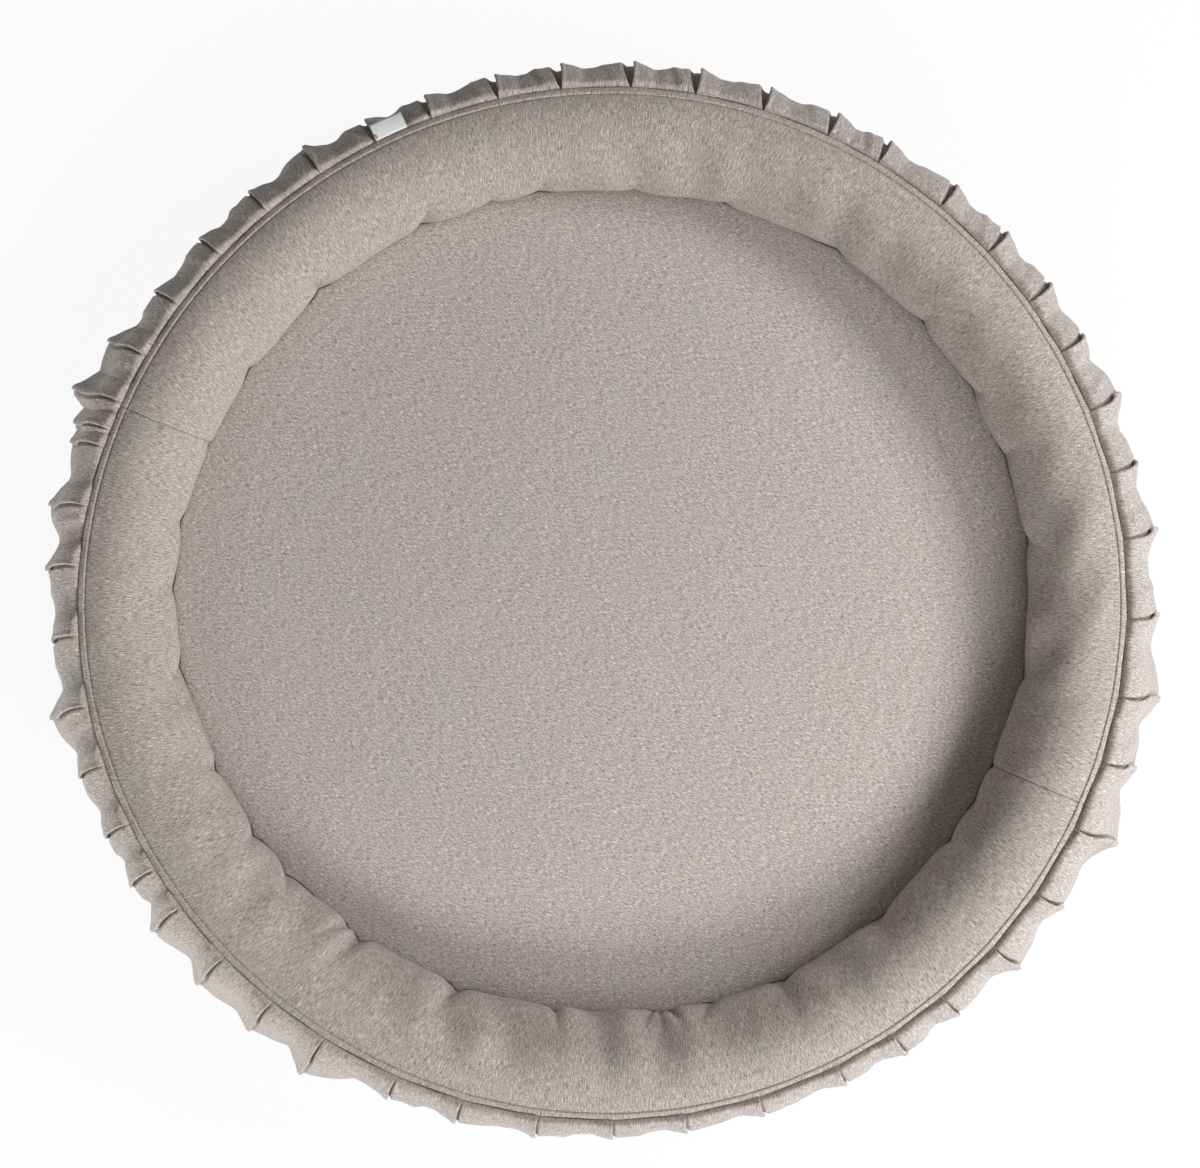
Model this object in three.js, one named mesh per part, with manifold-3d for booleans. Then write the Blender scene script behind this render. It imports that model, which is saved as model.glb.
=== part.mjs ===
// Round floor nest for infants: a foam mattress inside a stuffed ring bolster, in one sewn cover
// with a knife-pleated skirt. Millimetres, +Z up, origin under the middle of the base.
import * as THREE from "three";
import Module from "manifold-3d";
import { mergeVertices } from "three/addons/utils/BufferGeometryUtils.js";

// General sizes
const gap = 0.3;
const overrun = 20;
const ovalRise = 5;

// Bolster section, measured about the middle of the stuffed tube
const bolsterRadius = 492.5;
const bolsterHalfWidth = 60;
const bolsterHalfHeight = 61;
const innerFootPower = 4;
const outerFootPower = 2.7;

// Cover panels
const rimThickness = 3;
const wallThickness = 1.6;
const wallFootDeg = 150;
const dividerThickness = 1.4;
const baseThickness = 1.6;
const baseSeamReach = 29.5;
const baseRoundStepsCount = 12;
const floorThickness = 2;
const floorCrown = 3;

// Mattress
const foamThickness = 30;
const crownRingShares = [0.45, 0.85];

// Seam at the outer edge of the rim: a turned flange over the tucked skirt
const flangeEdgeDeg = 25.8;
const flangeWidth = 7.3;
const flangeThickness = 2;
const stitchDip = 0.9;
const tuckWidth = 5;
const flangeNearShare = 0.33;

// Creases that the stuffing leaves in the inner side of the rim
const creaseDepth = 9;
const creaseBulge = 2;
const creaseDeepestDeg = -76;
const creaseEndDeg = -4;
const closeCreasesDeg = 8;
const creasesDeg = [
  8, 20.1, 29.5, 41.3, 57.3, 72.8, 85.6, 98.6, 105.8, 115.2, 132.4, 147.3, 158, 169.1, 177.7,
  189.2, 202.9, 213.8, 221.3, 233.9, 248.8, 263.1, 277.5, 284.3, 295.2, 311, 325.6, 330.8, 337.1,
  350.3,
];
const creaseShares = [
  0.35, 0.35, 0.4, 0.4, 0.4, 0.35, 0.25, 0.35, 0.3, 0.5, 0.55, 0.4, 0.2, 0.35, 0.35,
  0.4, 0.45, 0.6, 0.6, 1, 0.9, 0.6, 0.9, 0.5, 0.4, 0.4, 0.3, 0.25, 0.2,
  0.35,
];
const crossSeamsDeg = [158, 337.1];
const bulgePlaceShares = [0.32, 0.68];

// Skirt, from the seam over the outer side of the bolster to the floor
const clothThickness = 1.2;
const clothClearance = 0.4;
const pleatDepth = 12;
const hemPleatDepth = 7;
const pleatLead = 2;
const hemFlare = 24.5;
const hemHeight = 1;
const hemReach = 26;
const shoulderDeg = 50;
const shoulderLift = 3.6;
const shoulderReach = 9;
const beltDeg = 92;
const beltLift = 6;
const beltReach = 16;
const valleyPlaceShare = 0.45;
const risePlaceShare = 0.8;
const hollowShare = 0.25;
const shortPleatShare = 0.3;
const stripCutShare = 0.3;
const foldsDeg = [
  6.9, 14.3, 21.5, 28.7, 35.2, 42.3, 49.6, 58, 64.3, 72, 79.7, 86.9, 94.7, 101.8, 109.6, 116.4,
  123.5, 130.8, 137.9, 145.1, 151.8, 157.6, 160.8, 162.8, 169.5, 176.1, 183.7, 191.4, 198.1, 205,
  210.7, 215.8, 223.1, 230.3, 237.3, 246.4, 254.1, 262.7, 271, 279, 287.4, 296.7, 303.8, 310.6,
  318.4, 326, 334.3, 342.1, 349.5, 358.1,
];
const foldReachShares = [
  0.8, 0.8, 1, 0.75, 0.7, 0.75, 0.8, 0.7, 0.75, 0.8, 0.75, 0.8, 0.75, 0.7, 0.8, 0.7, 1, 0.75,
  0.8, 0.75, 0.8, 1, 0.5, 0.4, 1, 1, 0.8, 1, 0.75, 0.7, 0.75, 1, 0.75, 0.8, 1, 0.75, 0.8, 0.7,
  0.75, 0.8, 0.75, 0.8, 1, 0.8, 1, 0.75, 1, 0.8, 1, 0.75,
];
const stripStarts = [10, 22, 35, 47];

// Blank label, caught in the seam
const labelMiddleDeg = 114.35;
const labelLength = 34;
const labelReach = 15;
const labelThickness = 0.8;
const labelLift = 1.4;
const labelTipLift = 7;

// Zip along the middle of the base, in a shallow valley of the fabric
const valleyDepth = 6.5;
const valleyHalfWidth = 36;
const valleyStepsCount = 5;
const valleyFade = 28;
const slotHalfWidth = 8;
const zipEndMargin = 43;
const tapeOverlap = 8;
const tapeHalfWidth = 20;
const tapeThickness = 0.7;
const chainSplit = 1.2;
const chainWidth = 2.3;
const chainHeight = 2.4;
const stopLength = 5;
const stopWall = 0.9;

// Zip slider and its pull
const sliderLength = 13;
const sliderHalfWidth = 4.8;
const sliderTailHalfWidth = 3.9;
const sliderPlate = 1.3;
const sliderLipWidth = 0.9;
const sliderPost = 0.6;
const sliderPostLength = 3;
const sliderClearance = 0.4;
const bailLength = 8;
const bailWidth = 1.6;
const bailThickness = 1;
const bailOpening = 2.2;
const pullBar = 1.4;
const pullWindow = 4.4;
const pullNeckHalfWidth = 2.6;
const pullEndHalfWidth = 3.6;
const pullLength = 27;
const pullThickness = 1.4;
const pullSideWall = 1.2;
const parkClearance = 0.5;

const radians = THREE.MathUtils.degToRad;
const degrees = THREE.MathUtils.radToDeg;
const wasm = await Module();
wasm.setup();

// Derived heights and radii
const baseTop = baseThickness;
const foamBottom = baseTop + gap;
const foamTop = foamBottom + foamThickness;
const floorBottom = foamTop + gap;
const floorEdgeTop = floorBottom + floorThickness;
const layerStep = clothThickness + clothClearance;
const skirtStack = 3 * clothThickness + 2 * clothClearance;
const skirtInset = 2 * gap;
const wallInset = skirtInset + skirtStack + gap;
const coreWallInset = wallInset + wallThickness + gap;
const coreRimInset = rimThickness + gap;
const degreesPerLength = degrees(1 / bolsterHalfWidth);
const stitchDeg = flangeEdgeDeg - flangeWidth * degreesPerLength;
const tuckDeg = flangeEdgeDeg - tuckWidth * degreesPerLength;
const padEndDeg = stitchDeg - stitchDip * 2 * degreesPerLength;
const clearDeg = flangeEdgeDeg + clothThickness * degreesPerLength;
const rimFootDeg = sectionAngleAt(floorEdgeTop);
const footRadius = tubePoint(rimFootDeg, 0).rho;
const baseRadius = bolsterRadius + baseSeamReach;
const hemRadius = bolsterRadius + bolsterHalfWidth + hemFlare;
const zipLength = 2 * (footRadius - zipEndMargin);
const dividerRadius = footRadius + gap;

// A point of the bolster's outline, seen in section: the angle runs outward from the top, and inset
// moves the whole outline towards the middle of the tube.
function tubePoint(angleDeg, inset) {
  const across = Math.sin(radians(angleDeg));
  const up = Math.cos(radians(angleDeg));
  const halfWidth = bolsterHalfWidth - inset;
  const halfHeight = bolsterHalfHeight - inset;
  if (up >= 0) {
    return { rho: bolsterRadius + halfWidth * across, z: bolsterHalfHeight + halfHeight * up };
  }
  const power = 2 / (across < 0 ? innerFootPower : outerFootPower);
  const squareAcross = Math.sign(across) * Math.pow(Math.abs(across), power);
  const squareUp = Math.pow(-up, power);
  return {
    rho: bolsterRadius + halfWidth * squareAcross,
    z: bolsterHalfHeight - halfHeight * squareUp,
  };
}

// The angle on the inner side of the section where the outline has a given height below the middle.
function sectionAngleAt(height) {
  const drop = (bolsterHalfHeight - height) / bolsterHalfHeight;
  return -90 - degrees(Math.asin(Math.pow(drop, innerFootPower / 2)));
}

function turned(rho, z, angle) {
  const radius = rho + ovalRise * Math.cos(2 * angle);
  return [radius * Math.cos(angle), radius * Math.sin(angle), z];
}

function evenSteps(from, to, count) {
  return Array.from({ length: count + 1 }, (_, k) => from + ((to - from) * k) / count);
}

// Geometry from a list of points and triangles, facing out
function solidFrom(points, faces) {
  let volume = 0;
  for (const [a, b, c] of faces) {
    const corner = new THREE.Vector3(...points[a]);
    const second = new THREE.Vector3(...points[b]);
    volume += corner.dot(second.cross(new THREE.Vector3(...points[c])));
  }
  const outward = volume < 0 ? faces.map(([a, b, c]) => [a, c, b]) : faces;
  const geometry = new THREE.BufferGeometry();
  geometry.setAttribute("position", new THREE.Float32BufferAttribute(points.flat(), 3));
  geometry.setIndex(outward.flat());
  return geometry;
}

// A skin of rows of equally many points: each row is a closed loop, and rows follow each other
// round a ring or end in flat caps. Each four-sided cell is cut from its upper corner at the first
// row, so that faces which follow each other at a distance are cut alike.
function loopSolid(rows, closed) {
  const count = rows[0].length;
  const points = rows.flat();
  const faces = [];
  const last = closed ? rows.length : rows.length - 1;
  for (let j = 0; j < last; j += 1) {
    const here = j * count;
    const next = ((j + 1) % rows.length) * count;
    for (let k = 0; k < count; k += 1) {
      const after = (k + 1) % count;
      const heightOf = (index) => points[here + index][2] + points[next + index][2];
      if (heightOf(k) >= heightOf(after)) {
        faces.push([here + k, here + after, next + after], [here + k, next + after, next + k]);
      } else {
        faces.push([here + k, here + after, next + k], [here + after, next + after, next + k]);
      }
    }
  }
  return { points, faces };
}

// A sheet between two grids of points, which are cut into triangles alike
function sheetSolid(upper, lower) {
  const [height, width] = [upper.length, upper[0].length];
  const points = [...upper.flat(), ...lower.flat()];
  const under = height * width;
  const faces = [];
  for (let j = 0; j + 1 < height; j += 1) {
    for (let k = 0; k + 1 < width; k += 1) {
      const [a, b] = [j * width + k, j * width + k + 1];
      const [c, d] = [b + width, a + width];
      faces.push([a, b, c], [a, c, d]);
      faces.push([under + a, under + c, under + b], [under + a, under + d, under + c]);
    }
  }
  const rim = [
    ...Array.from({ length: width - 1 }, (_, k) => k),
    ...Array.from({ length: height - 1 }, (_, j) => j * width + width - 1),
    ...Array.from({ length: width - 1 }, (_, k) => height * width - 1 - k),
    ...Array.from({ length: height - 1 }, (_, j) => (height - 1 - j) * width),
  ];
  rim.forEach((here, k) => {
    const next = rim[(k + 1) % rim.length];
    faces.push([here, under + here, under + next], [here, under + next, next]);
  });
  return solidFrom(points, faces);
}

// Flat caps for the two ends of an open loft, cut into triangles in the section's own plane
function addCaps(solid, section, endSection) {
  const count = section.length;
  const start = solid.points.length - count;
  const flat = (list) => list.map(([x, y]) => new THREE.Vector2(x, y));
  for (const [a, b, c] of THREE.ShapeUtils.triangulateShape(flat(section), [])) {
    solid.faces.push(facingStart(section, a, b, c));
  }
  for (const [a, b, c] of THREE.ShapeUtils.triangulateShape(flat(endSection), [])) {
    const [p, q, r] = facingStart(endSection, a, b, c);
    solid.faces.push([start + p, start + r, start + q]);
  }
}

// A cap's triangle at the start of a loft runs against the loop's own sense
function facingStart(section, a, b, c) {
  const area = THREE.ShapeUtils.area(section.map(([x, y]) => new THREE.Vector2(x, y)));
  const [p, q, r] = [section[a], section[b], section[c]];
  const turn = (q[0] - p[0]) * (r[1] - p[1]) - (q[1] - p[1]) * (r[0] - p[0]);
  return turn * area > 0 ? [a, c, b] : [a, b, c];
}

// Stations round the ring: one at each crease and two between neighbours, or one if they are close
const stations = creasesDeg.flatMap((deg, k) => {
  const next = k + 1 < creasesDeg.length ? creasesDeg[k + 1] : creasesDeg[0] + 360;
  const span = next - deg;
  const between = span < closeCreasesDeg ? [0.5] : bulgePlaceShares;
  const bulges = between.map((share) => ({ deg: deg + span * share, inset: -creaseBulge }));
  return [{ deg, inset: creaseDepth * creaseShares[k] }, ...bulges];
});

// How much of a crease shows at an angle of the section: none at the floor and none on top
function creaseShareAt(angleDeg) {
  const towardsFloor = angleDeg < creaseDeepestDeg;
  const end = towardsFloor ? rimFootDeg : creaseEndDeg;
  const share = Math.max(0, 1 - Math.abs((angleDeg - creaseDeepestDeg) / (end - creaseDeepestDeg)));
  return share * share * (3 - 2 * share);
}

function creasedPoint(station, angleDeg, inset) {
  return tubePoint(angleDeg, inset + station.inset * creaseShareAt(angleDeg));
}

// A ring, or a part of one from a start to an end angle, from its section at each station
function ringGeometry(section, fromDeg, toDeg) {
  const closed = fromDeg === undefined;
  const chosen = closed ? stations : stationsBetween(fromDeg, toDeg);
  const sections = chosen.map((station) => section(station).map(({ rho, z }) => [rho, z]));
  const rows = chosen.map((station, j) =>
    sections[j].map(([rho, z]) => turned(rho, z, radians(station.deg)))
  );
  const solid = loopSolid(rows, closed);
  if (!closed) {
    addCaps(solid, sections[0], sections[sections.length - 1]);
  }
  return solidFrom(solid.points, solid.faces);
}

// The stations of one half ring, drawn back by half a gap at both ends
function stationsBetween(fromDeg, toDeg) {
  const end = toDeg > fromDeg ? toDeg : toDeg + 360;
  const twice = [...stations, ...stations.map((s) => ({ ...s, deg: s.deg + 360 }))];
  const chosen = twice.filter((s) => s.deg >= fromDeg && s.deg <= end);
  const half = degrees(gap / 2 / footRadius);
  const moved = chosen.map((s) => ({ ...s }));
  moved[0].deg += half;
  moved[moved.length - 1].deg -= half;
  return moved;
}

// Rim panel: the padded top and inner side of the bolster, ending in the flange
const rimOuterDeg = evenSteps(rimFootDeg, padEndDeg, 7);
const rimInnerDeg = evenSteps(rimFootDeg, padEndDeg, 4);

function rimSection(station) {
  const flangeNearDeg = stitchDeg + (flangeEdgeDeg - stitchDeg) * flangeNearShare;
  const outer = rimOuterDeg.map((deg) => creasedPoint(station, deg, 0));
  const inner = rimInnerDeg.map((deg) => creasedPoint(station, deg, rimThickness));
  const flange = [
    tubePoint(stitchDeg, stitchDip),
    tubePoint(flangeNearDeg, -flangeThickness),
    tubePoint(flangeEdgeDeg, -flangeThickness),
    tubePoint(flangeEdgeDeg, 0),
    tubePoint(tuckDeg - degreesPerLength * gap, 0),
  ];
  return [...outer, ...flange, ...inner.reverse()];
}

// Outer wall: behind the skirt, from under the flange down to the base seam
const wallDeg = evenSteps(tuckDeg, wallFootDeg, 5);

function wallSection() {
  const foot = baseTop + gap;
  const outer = wallDeg.map((deg) => tubePoint(deg, wallInset));
  const inner = wallDeg.map((deg) => tubePoint(deg, wallInset + wallThickness));
  return [
    ...outer,
    { rho: baseRadius, z: foot },
    { rho: baseRadius - wallThickness, z: foot },
    ...inner.reverse(),
  ];
}

// Divider: the upright lining between the mattress and the bolster's filling
function dividerSection() {
  const top = tubePoint(rimFootDeg, 0).z - gap;
  return [
    { rho: dividerRadius, z: foamBottom },
    { rho: dividerRadius + dividerThickness, z: foamBottom },
    { rho: dividerRadius + dividerThickness, z: top },
    { rho: dividerRadius, z: top },
  ];
}

// Bolster filling: follows the creases of the rim from inside
function coreSection(station) {
  const inside = dividerRadius + dividerThickness + gap;
  const rim = rimInnerDeg.map((deg) => creasedPoint(station, deg, coreRimInset));
  const wall = wallDeg.map((deg) => tubePoint(deg, coreWallInset));
  return [
    { rho: inside, z: foamBottom },
    ...rim,
    ...wall,
    { rho: baseRadius - wallThickness - 2 * gap, z: foamBottom },
  ];
}

// A disc from its half section, given from the middle of the top to the middle of the bottom
function discGeometry(profile) {
  const ring = profile.slice(1, -1);
  const rows = ring.map(({ rho, z }) =>
    stations.map((station) => turned(rho, z, radians(station.deg)))
  );
  const points = [...rows.flat(), [0, 0, profile[0].z], [0, 0, profile[profile.length - 1].z]];
  const count = stations.length;
  const [top, bottom] = [points.length - 2, points.length - 1];
  const faces = [];
  for (let k = 0; k < count; k += 1) {
    const after = (k + 1) % count;
    faces.push([top, k, after]);
    for (let j = 0; j + 1 < rows.length; j += 1) {
      faces.push([j * count + k, (j + 1) * count + k, (j + 1) * count + after]);
      faces.push([j * count + k, (j + 1) * count + after, j * count + after]);
    }
    const lowest = (rows.length - 1) * count;
    faces.push([bottom, lowest + after, lowest + k]);
  }
  return solidFrom(points, faces);
}

function floorGeometry() {
  const edge = footRadius - gap;
  const crownAt = (share) => floorCrown * (1 - share * share);
  const rings = [...crownRingShares, 1];
  return discGeometry([
    { rho: 0, z: floorEdgeTop + floorCrown },
    ...rings.map((share) => ({ rho: edge * share, z: floorEdgeTop + crownAt(share) })),
    ...rings.toReversed().map((share) => ({ rho: edge * share, z: floorBottom + crownAt(share) })),
    { rho: 0, z: floorBottom + floorCrown },
  ]);
}

// Height of the fabric valley over the base, as a share, at a distance from the middle line
function valleyShareAt(y) {
  return y < valleyHalfWidth ? (1 + Math.cos((Math.PI * y) / valleyHalfWidth)) / 2 : 0;
}

const tapeBottomAt = (y) => valleyDepth * valleyShareAt(y) + baseTop + gap;
const chainMiddle = tapeBottomAt(chainSplit / 2 + chainWidth) + tapeThickness / 2;
const sliderMouth = chainHeight / 2 + sliderClearance;
const sliderTop = chainMiddle + sliderMouth + sliderPlate;

function toSolid(geometry) {
  const bare = geometry.clone();
  bare.deleteAttribute("normal");
  bare.deleteAttribute("uv");
  const merged = mergeVertices(bare);
  const vertProperties = Float32Array.from(merged.attributes.position.array);
  const triVerts = Uint32Array.from(merged.index.array);
  return new wasm.Manifold(new wasm.Mesh({ numProp: 3, vertProperties, triVerts }));
}

function toGeometry(solid) {
  const mesh = solid.getMesh();
  const geometry = new THREE.BufferGeometry();
  const positions = new THREE.BufferAttribute(mesh.vertProperties.slice(), 3);
  geometry.setAttribute("position", positions);
  geometry.setIndex(new THREE.BufferAttribute(mesh.triVerts.slice(), 1));
  return geometry;
}

// An outline in the upright plane across the zip, drawn out along X about the middle
function alongX(outline, length) {
  const shape = new THREE.Shape(outline.map(([y, z]) => new THREE.Vector2(y, z)));
  const geometry = new THREE.ExtrudeGeometry(shape, { depth: length, bevelEnabled: false });
  geometry.translate(0, 0, -length / 2);
  const axes = [new THREE.Vector3(0, 1, 0), new THREE.Vector3(0, 0, 1), new THREE.Vector3(1, 0, 0)];
  return geometry.applyMatrix4(new THREE.Matrix4().makeBasis(...axes));
}

// An outline seen from above, raised from one height by a thickness
function upFrom(outline, z, thickness) {
  const shape = new THREE.Shape(outline.map(([x, y]) => new THREE.Vector2(x, y)));
  const geometry = new THREE.ExtrudeGeometry(shape, { depth: thickness, bevelEnabled: false });
  return geometry.translate(0, 0, z);
}

// Mattress foam, with a channel underneath that clears the zip
function foamGeometry() {
  const edge = footRadius - gap;
  const disc = discGeometry([
    { rho: 0, z: foamTop + floorCrown },
    ...crownRingShares.map((share) => ({
      rho: edge * share,
      z: foamTop + floorCrown * (1 - share * share),
    })),
    { rho: edge, z: foamTop },
    { rho: edge, z: foamBottom },
    { rho: 0, z: foamBottom },
  ]);
  const overSlider = (sliderTop + 2 * gap - foamBottom) / valleyShareAt(sliderHalfWidth);
  const tapeTop = tapeBottomAt(tapeHalfWidth) + tapeThickness + gap;
  const overTape = (tapeTop - foamBottom) / valleyShareAt(tapeHalfWidth);
  const rise = Math.max(overSlider, overTape);
  const sides = evenSteps(-1, 1, 2 * valleyStepsCount).map((share) => {
    const y = valleyHalfWidth * share;
    return [y, foamBottom + rise * valleyShareAt(Math.abs(y))];
  });
  const below = foamBottom - overrun;
  const outline = [[-valleyHalfWidth, below], [valleyHalfWidth, below], ...sides.reverse()];
  const channel = toSolid(alongX(outline, 2 * (edge + ovalRise + overrun)));
  return toGeometry(toSolid(disc).subtract(channel));
}

// Half of the base panel: rows of points from the zip outward, and columns along it. The two
// halves meet in a seam past the ends of the zip.
function baseHalfGeometry(side) {
  const tapeEnd = zipLength / 2 + tapeOverlap;
  const valleyEnd = tapeEnd + valleyFade;
  const valleyRows = evenSteps(slotHalfWidth, valleyHalfWidth, valleyStepsCount);
  const startAngle = Math.asin(valleyHalfWidth / baseRadius);
  const lastAngle = Math.PI / 2 - (Math.PI / 2 - startAngle) / baseRoundStepsCount / 2;
  const roundRows = evenSteps(startAngle, lastAngle, baseRoundStepsCount)
    .slice(1)
    .map((angle) => (baseRadius - ovalRise) * Math.sin(angle));
  const rows = [...valleyRows, ...roundRows].map((y) => {
    const reach = (baseRadius + ovalRise) * Math.sqrt(1 - (y / (baseRadius - ovalRise)) ** 2);
    const columns = [-reach, -valleyEnd, -tapeEnd, tapeEnd, valleyEnd, reach];
    const widest = y > valleyHalfWidth ? reach / (baseRadius + ovalRise) : 1;
    return columns.map((x, k) => {
      const besideZip = k === 2 || k === 3;
      const drawnX = k === 0 || k === 5 ? x : x * widest;
      const drawnY = y === slotHalfWidth && !besideZip ? gap / 2 : y;
      const height = besideZip ? valleyDepth * valleyShareAt(y) : 0;
      return [drawnX, side * drawnY, height];
    });
  });
  const upper = rows.map((row) => row.map(([x, y, z]) => [x, y, z + baseThickness]));
  return sheetSolid(upper, rows);
}

// Skirt. A row runs round the ring at one height. Each row says where the cloth of a valley lies,
// which way is out, how far a fold stands out and how deep the pleat is tucked.
const skirtRows = [
  skirtRow(tuckDeg, 0, 0, pleatDepth),
  skirtRow(clearDeg, 0, 0, pleatDepth),
  skirtRow(shoulderDeg, shoulderLift, shoulderReach, pleatDepth),
  skirtRow(beltDeg, beltLift, beltReach, (pleatDepth + hemPleatDepth) / 2),
  { rho: hemRadius, z: hemHeight, out: [1, 0], reach: hemReach, depth: hemPleatDepth },
];

function skirtRow(deg, lift, reach, depth) {
  const inset = skirtInset + skirtStack - clothThickness / 2 - lift;
  const out = [Math.sin(radians(deg)), Math.cos(radians(deg))];
  return { ...tubePoint(deg, inset), out, reach, depth };
}

// The six points of one pleat, as distances along the row from its fold and heights over the valley
function pleatPath(row, pitch, before, reachShare) {
  const depth = Math.min(row.depth, before * shortPleatShare);
  const nextDepth = Math.min(row.depth, pitch * shortPleatShare);
  const reach = row.reach * reachShare;
  const hollow = hollowShare * reach;
  const rise = riseBefore(row, before, depth);
  const slope = Math.atan2(reach - hollow, rise);
  const fold = [0, reach + 2 * layerStep];
  return {
    fold,
    under: [layerStep * Math.sin(slope), fold[1] - layerStep * Math.cos(slope)],
    tuckTop: [-depth, hollow + layerStep],
    tuckFoot: [-depth, hollow],
    valley: [pitch * valleyPlaceShare, 0],
    rise: [pitch - riseBefore(row, pitch, nextDepth), 0],
  };
}

// How far before a fold the cloth starts to rise towards it
function riseBefore(row, pitch, depth) {
  return Math.max(pitch * (1 - risePlaceShare), depth + pleatLead);
}

const foldCount = foldsDeg.length;
const foldAt = (k) => foldsDeg[k % foldCount] + 360 * Math.floor(k / foldCount);

// The middle line of a strip of skirt in one row, from inside one pleat to inside another
function stripLine(row, from, to) {
  const line = [];
  for (let k = from; k <= to; k += 1) {
    const pitch = radians(foldAt(k + 1) - foldAt(k)) * row.rho;
    const before = radians(foldAt(k) - foldAt(k + foldCount - 1) + 360) * row.rho;
    const reachShare = foldReachShares[k % foldCount];
    const nextHollow = hollowShare * row.reach * foldReachShares[(k + 1) % foldCount];
    const path = pleatPath(row, pitch, before, reachShare);
    const start = radians(foldAt(k)) * row.rho;
    const place = ([x, h]) => [start + x, h];
    const cutShare = stripCutShare + (k === from ? 1 : -1) * (gap / (pitch * valleyPlaceShare));
    const cut = path.tuckFoot.map((value, i) => value + (path.valley[i] - value) * cutShare);
    if (k > from) {
      line.push(place(path.fold), place(path.under), place(path.tuckTop), place(path.tuckFoot));
    }
    if (k === from || k === to) {
      line.push(place(cut));
    }
    if (k < to) {
      line.push(place(path.valley));
      line.push(place([path.rise[0], nextHollow + 2 * layerStep]));
    }
  }
  return line;
}

// Both faces of a cloth about its middle line, drawn with mitred corners
function thickened(line, thickness) {
  const sides = line.map((point, k) => {
    const before = k > 0 ? direction(line[k - 1], point) : direction(point, line[k + 1]);
    const after = k + 1 < line.length ? direction(point, line[k + 1]) : before;
    const normal = [-before[1] - after[1], before[0] + after[0]];
    const size = Math.hypot(...normal);
    const half = (thickness / 2) * (2 / (size * size));
    return normal.map((value) => value * half);
  });
  const upper = line.map(([x, h], k) => [x + sides[k][0], h + sides[k][1]]);
  const lower = line.map(([x, h], k) => [x - sides[k][0], h - sides[k][1]]);
  return { upper, lower };
}

function direction([x, h], [nextX, nextH]) {
  const length = Math.hypot(nextX - x, nextH - h);
  return [(nextX - x) / length, (nextH - h) / length];
}

function stripGeometry(from, to) {
  const placed = skirtRows.map((row) => {
    const { upper, lower } = thickened(stripLine(row, from, to), clothThickness);
    const place = ([x, h]) =>
      turned(row.rho + row.out[0] * h, row.z + row.out[1] * h, x / row.rho);
    return { upper: upper.map(place), lower: lower.map(place) };
  });
  return sheetSolid(placed.map((row) => row.upper), placed.map((row) => row.lower));
}

// Blank label: a small plate that leaves the seam and lies over the skirt
function labelGeometry() {
  const middle = radians(labelMiddleDeg);
  const inner = tubePoint(flangeEdgeDeg + degreesPerLength * gap, -labelLift);
  const tipDeg = flangeEdgeDeg + labelReach * degreesPerLength;
  const tip = tubePoint(tipDeg, -labelTipLift);
  const along = new THREE.Vector2(tip.rho - inner.rho, tip.z - inner.z).normalize();
  const reach = [along.x * labelReach, along.y * labelReach];
  const rise = [-along.y * labelThickness, along.x * labelThickness];
  const corners = [
    [inner.rho, inner.z],
    [inner.rho + reach[0], inner.z + reach[1]],
    [inner.rho + reach[0] + rise[0], inner.z + reach[1] + rise[1]],
    [inner.rho + rise[0], inner.z + rise[1]],
  ];
  const outward = [Math.cos(middle), Math.sin(middle)];
  const rows = [-labelLength / 2, labelLength / 2].map((side) =>
    corners.map(([rho, z]) => {
      const radius = rho + ovalRise * Math.cos(2 * middle);
      return [outward[0] * radius - outward[1] * side, outward[1] * radius + outward[0] * side, z];
    })
  );
  const solid = loopSolid(rows, false);
  addCaps(solid, corners, corners);
  return solidFrom(solid.points, solid.faces);
}

// Zip tape: a strip that follows the fabric valley on its inner side
function tapeGeometry(side) {
  const inner = chainSplit / 2 + chainWidth + gap;
  const steps = evenSteps(inner, tapeHalfWidth, valleyStepsCount - 1);
  const lower = steps.map((y) => [side * y, tapeBottomAt(y)]);
  const upper = steps.toReversed().map((y) => [side * y, tapeBottomAt(y) + tapeThickness]);
  return alongX([...lower, ...upper], zipLength + 2 * tapeOverlap);
}

// One half of the closed chain: a rounded bead on the edge of its tape
function chainGeometry(side) {
  const inner = chainSplit / 2;
  const outer = inner + chainWidth;
  const half = chainHeight / 2;
  const round = chainWidth / 4;
  const outline = [
    [inner, -half + round], [inner + round, -half], [outer - round, -half], [outer, -half + round],
    [outer, half - round], [outer - round, half], [inner + round, half], [inner, half - round],
  ];
  return alongX(outline.map(([y, z]) => [side * y, chainMiddle + z]), zipLength);
}

// A stop clamped over both halves at one end of the chain
function stopGeometry(end) {
  const half = chainSplit / 2 + chainWidth;
  const height = chainHeight / 2 + stopWall;
  const round = stopWall;
  const outline = [
    [-half, -height + round], [-half + round, -height], [half - round, -height],
    [half, -height + round], [half, height - round], [half - round, height],
    [-half + round, height], [-half, height - round],
  ];
  const geometry = alongX(outline.map(([y, z]) => [y, chainMiddle + z]), stopLength);
  return geometry.translate(end * (zipLength / 2 + gap + stopLength / 2), 0, 0);
}

// Slider: two shield-shaped plates, lips at their sides, the post between the chain halves and
// the bail underneath that holds the pull
const parkX = zipLength / 2 - sliderLength / 2 - parkClearance;
const bailBarZ = chainMiddle - sliderMouth - sliderPlate - bailOpening / 2;

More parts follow.
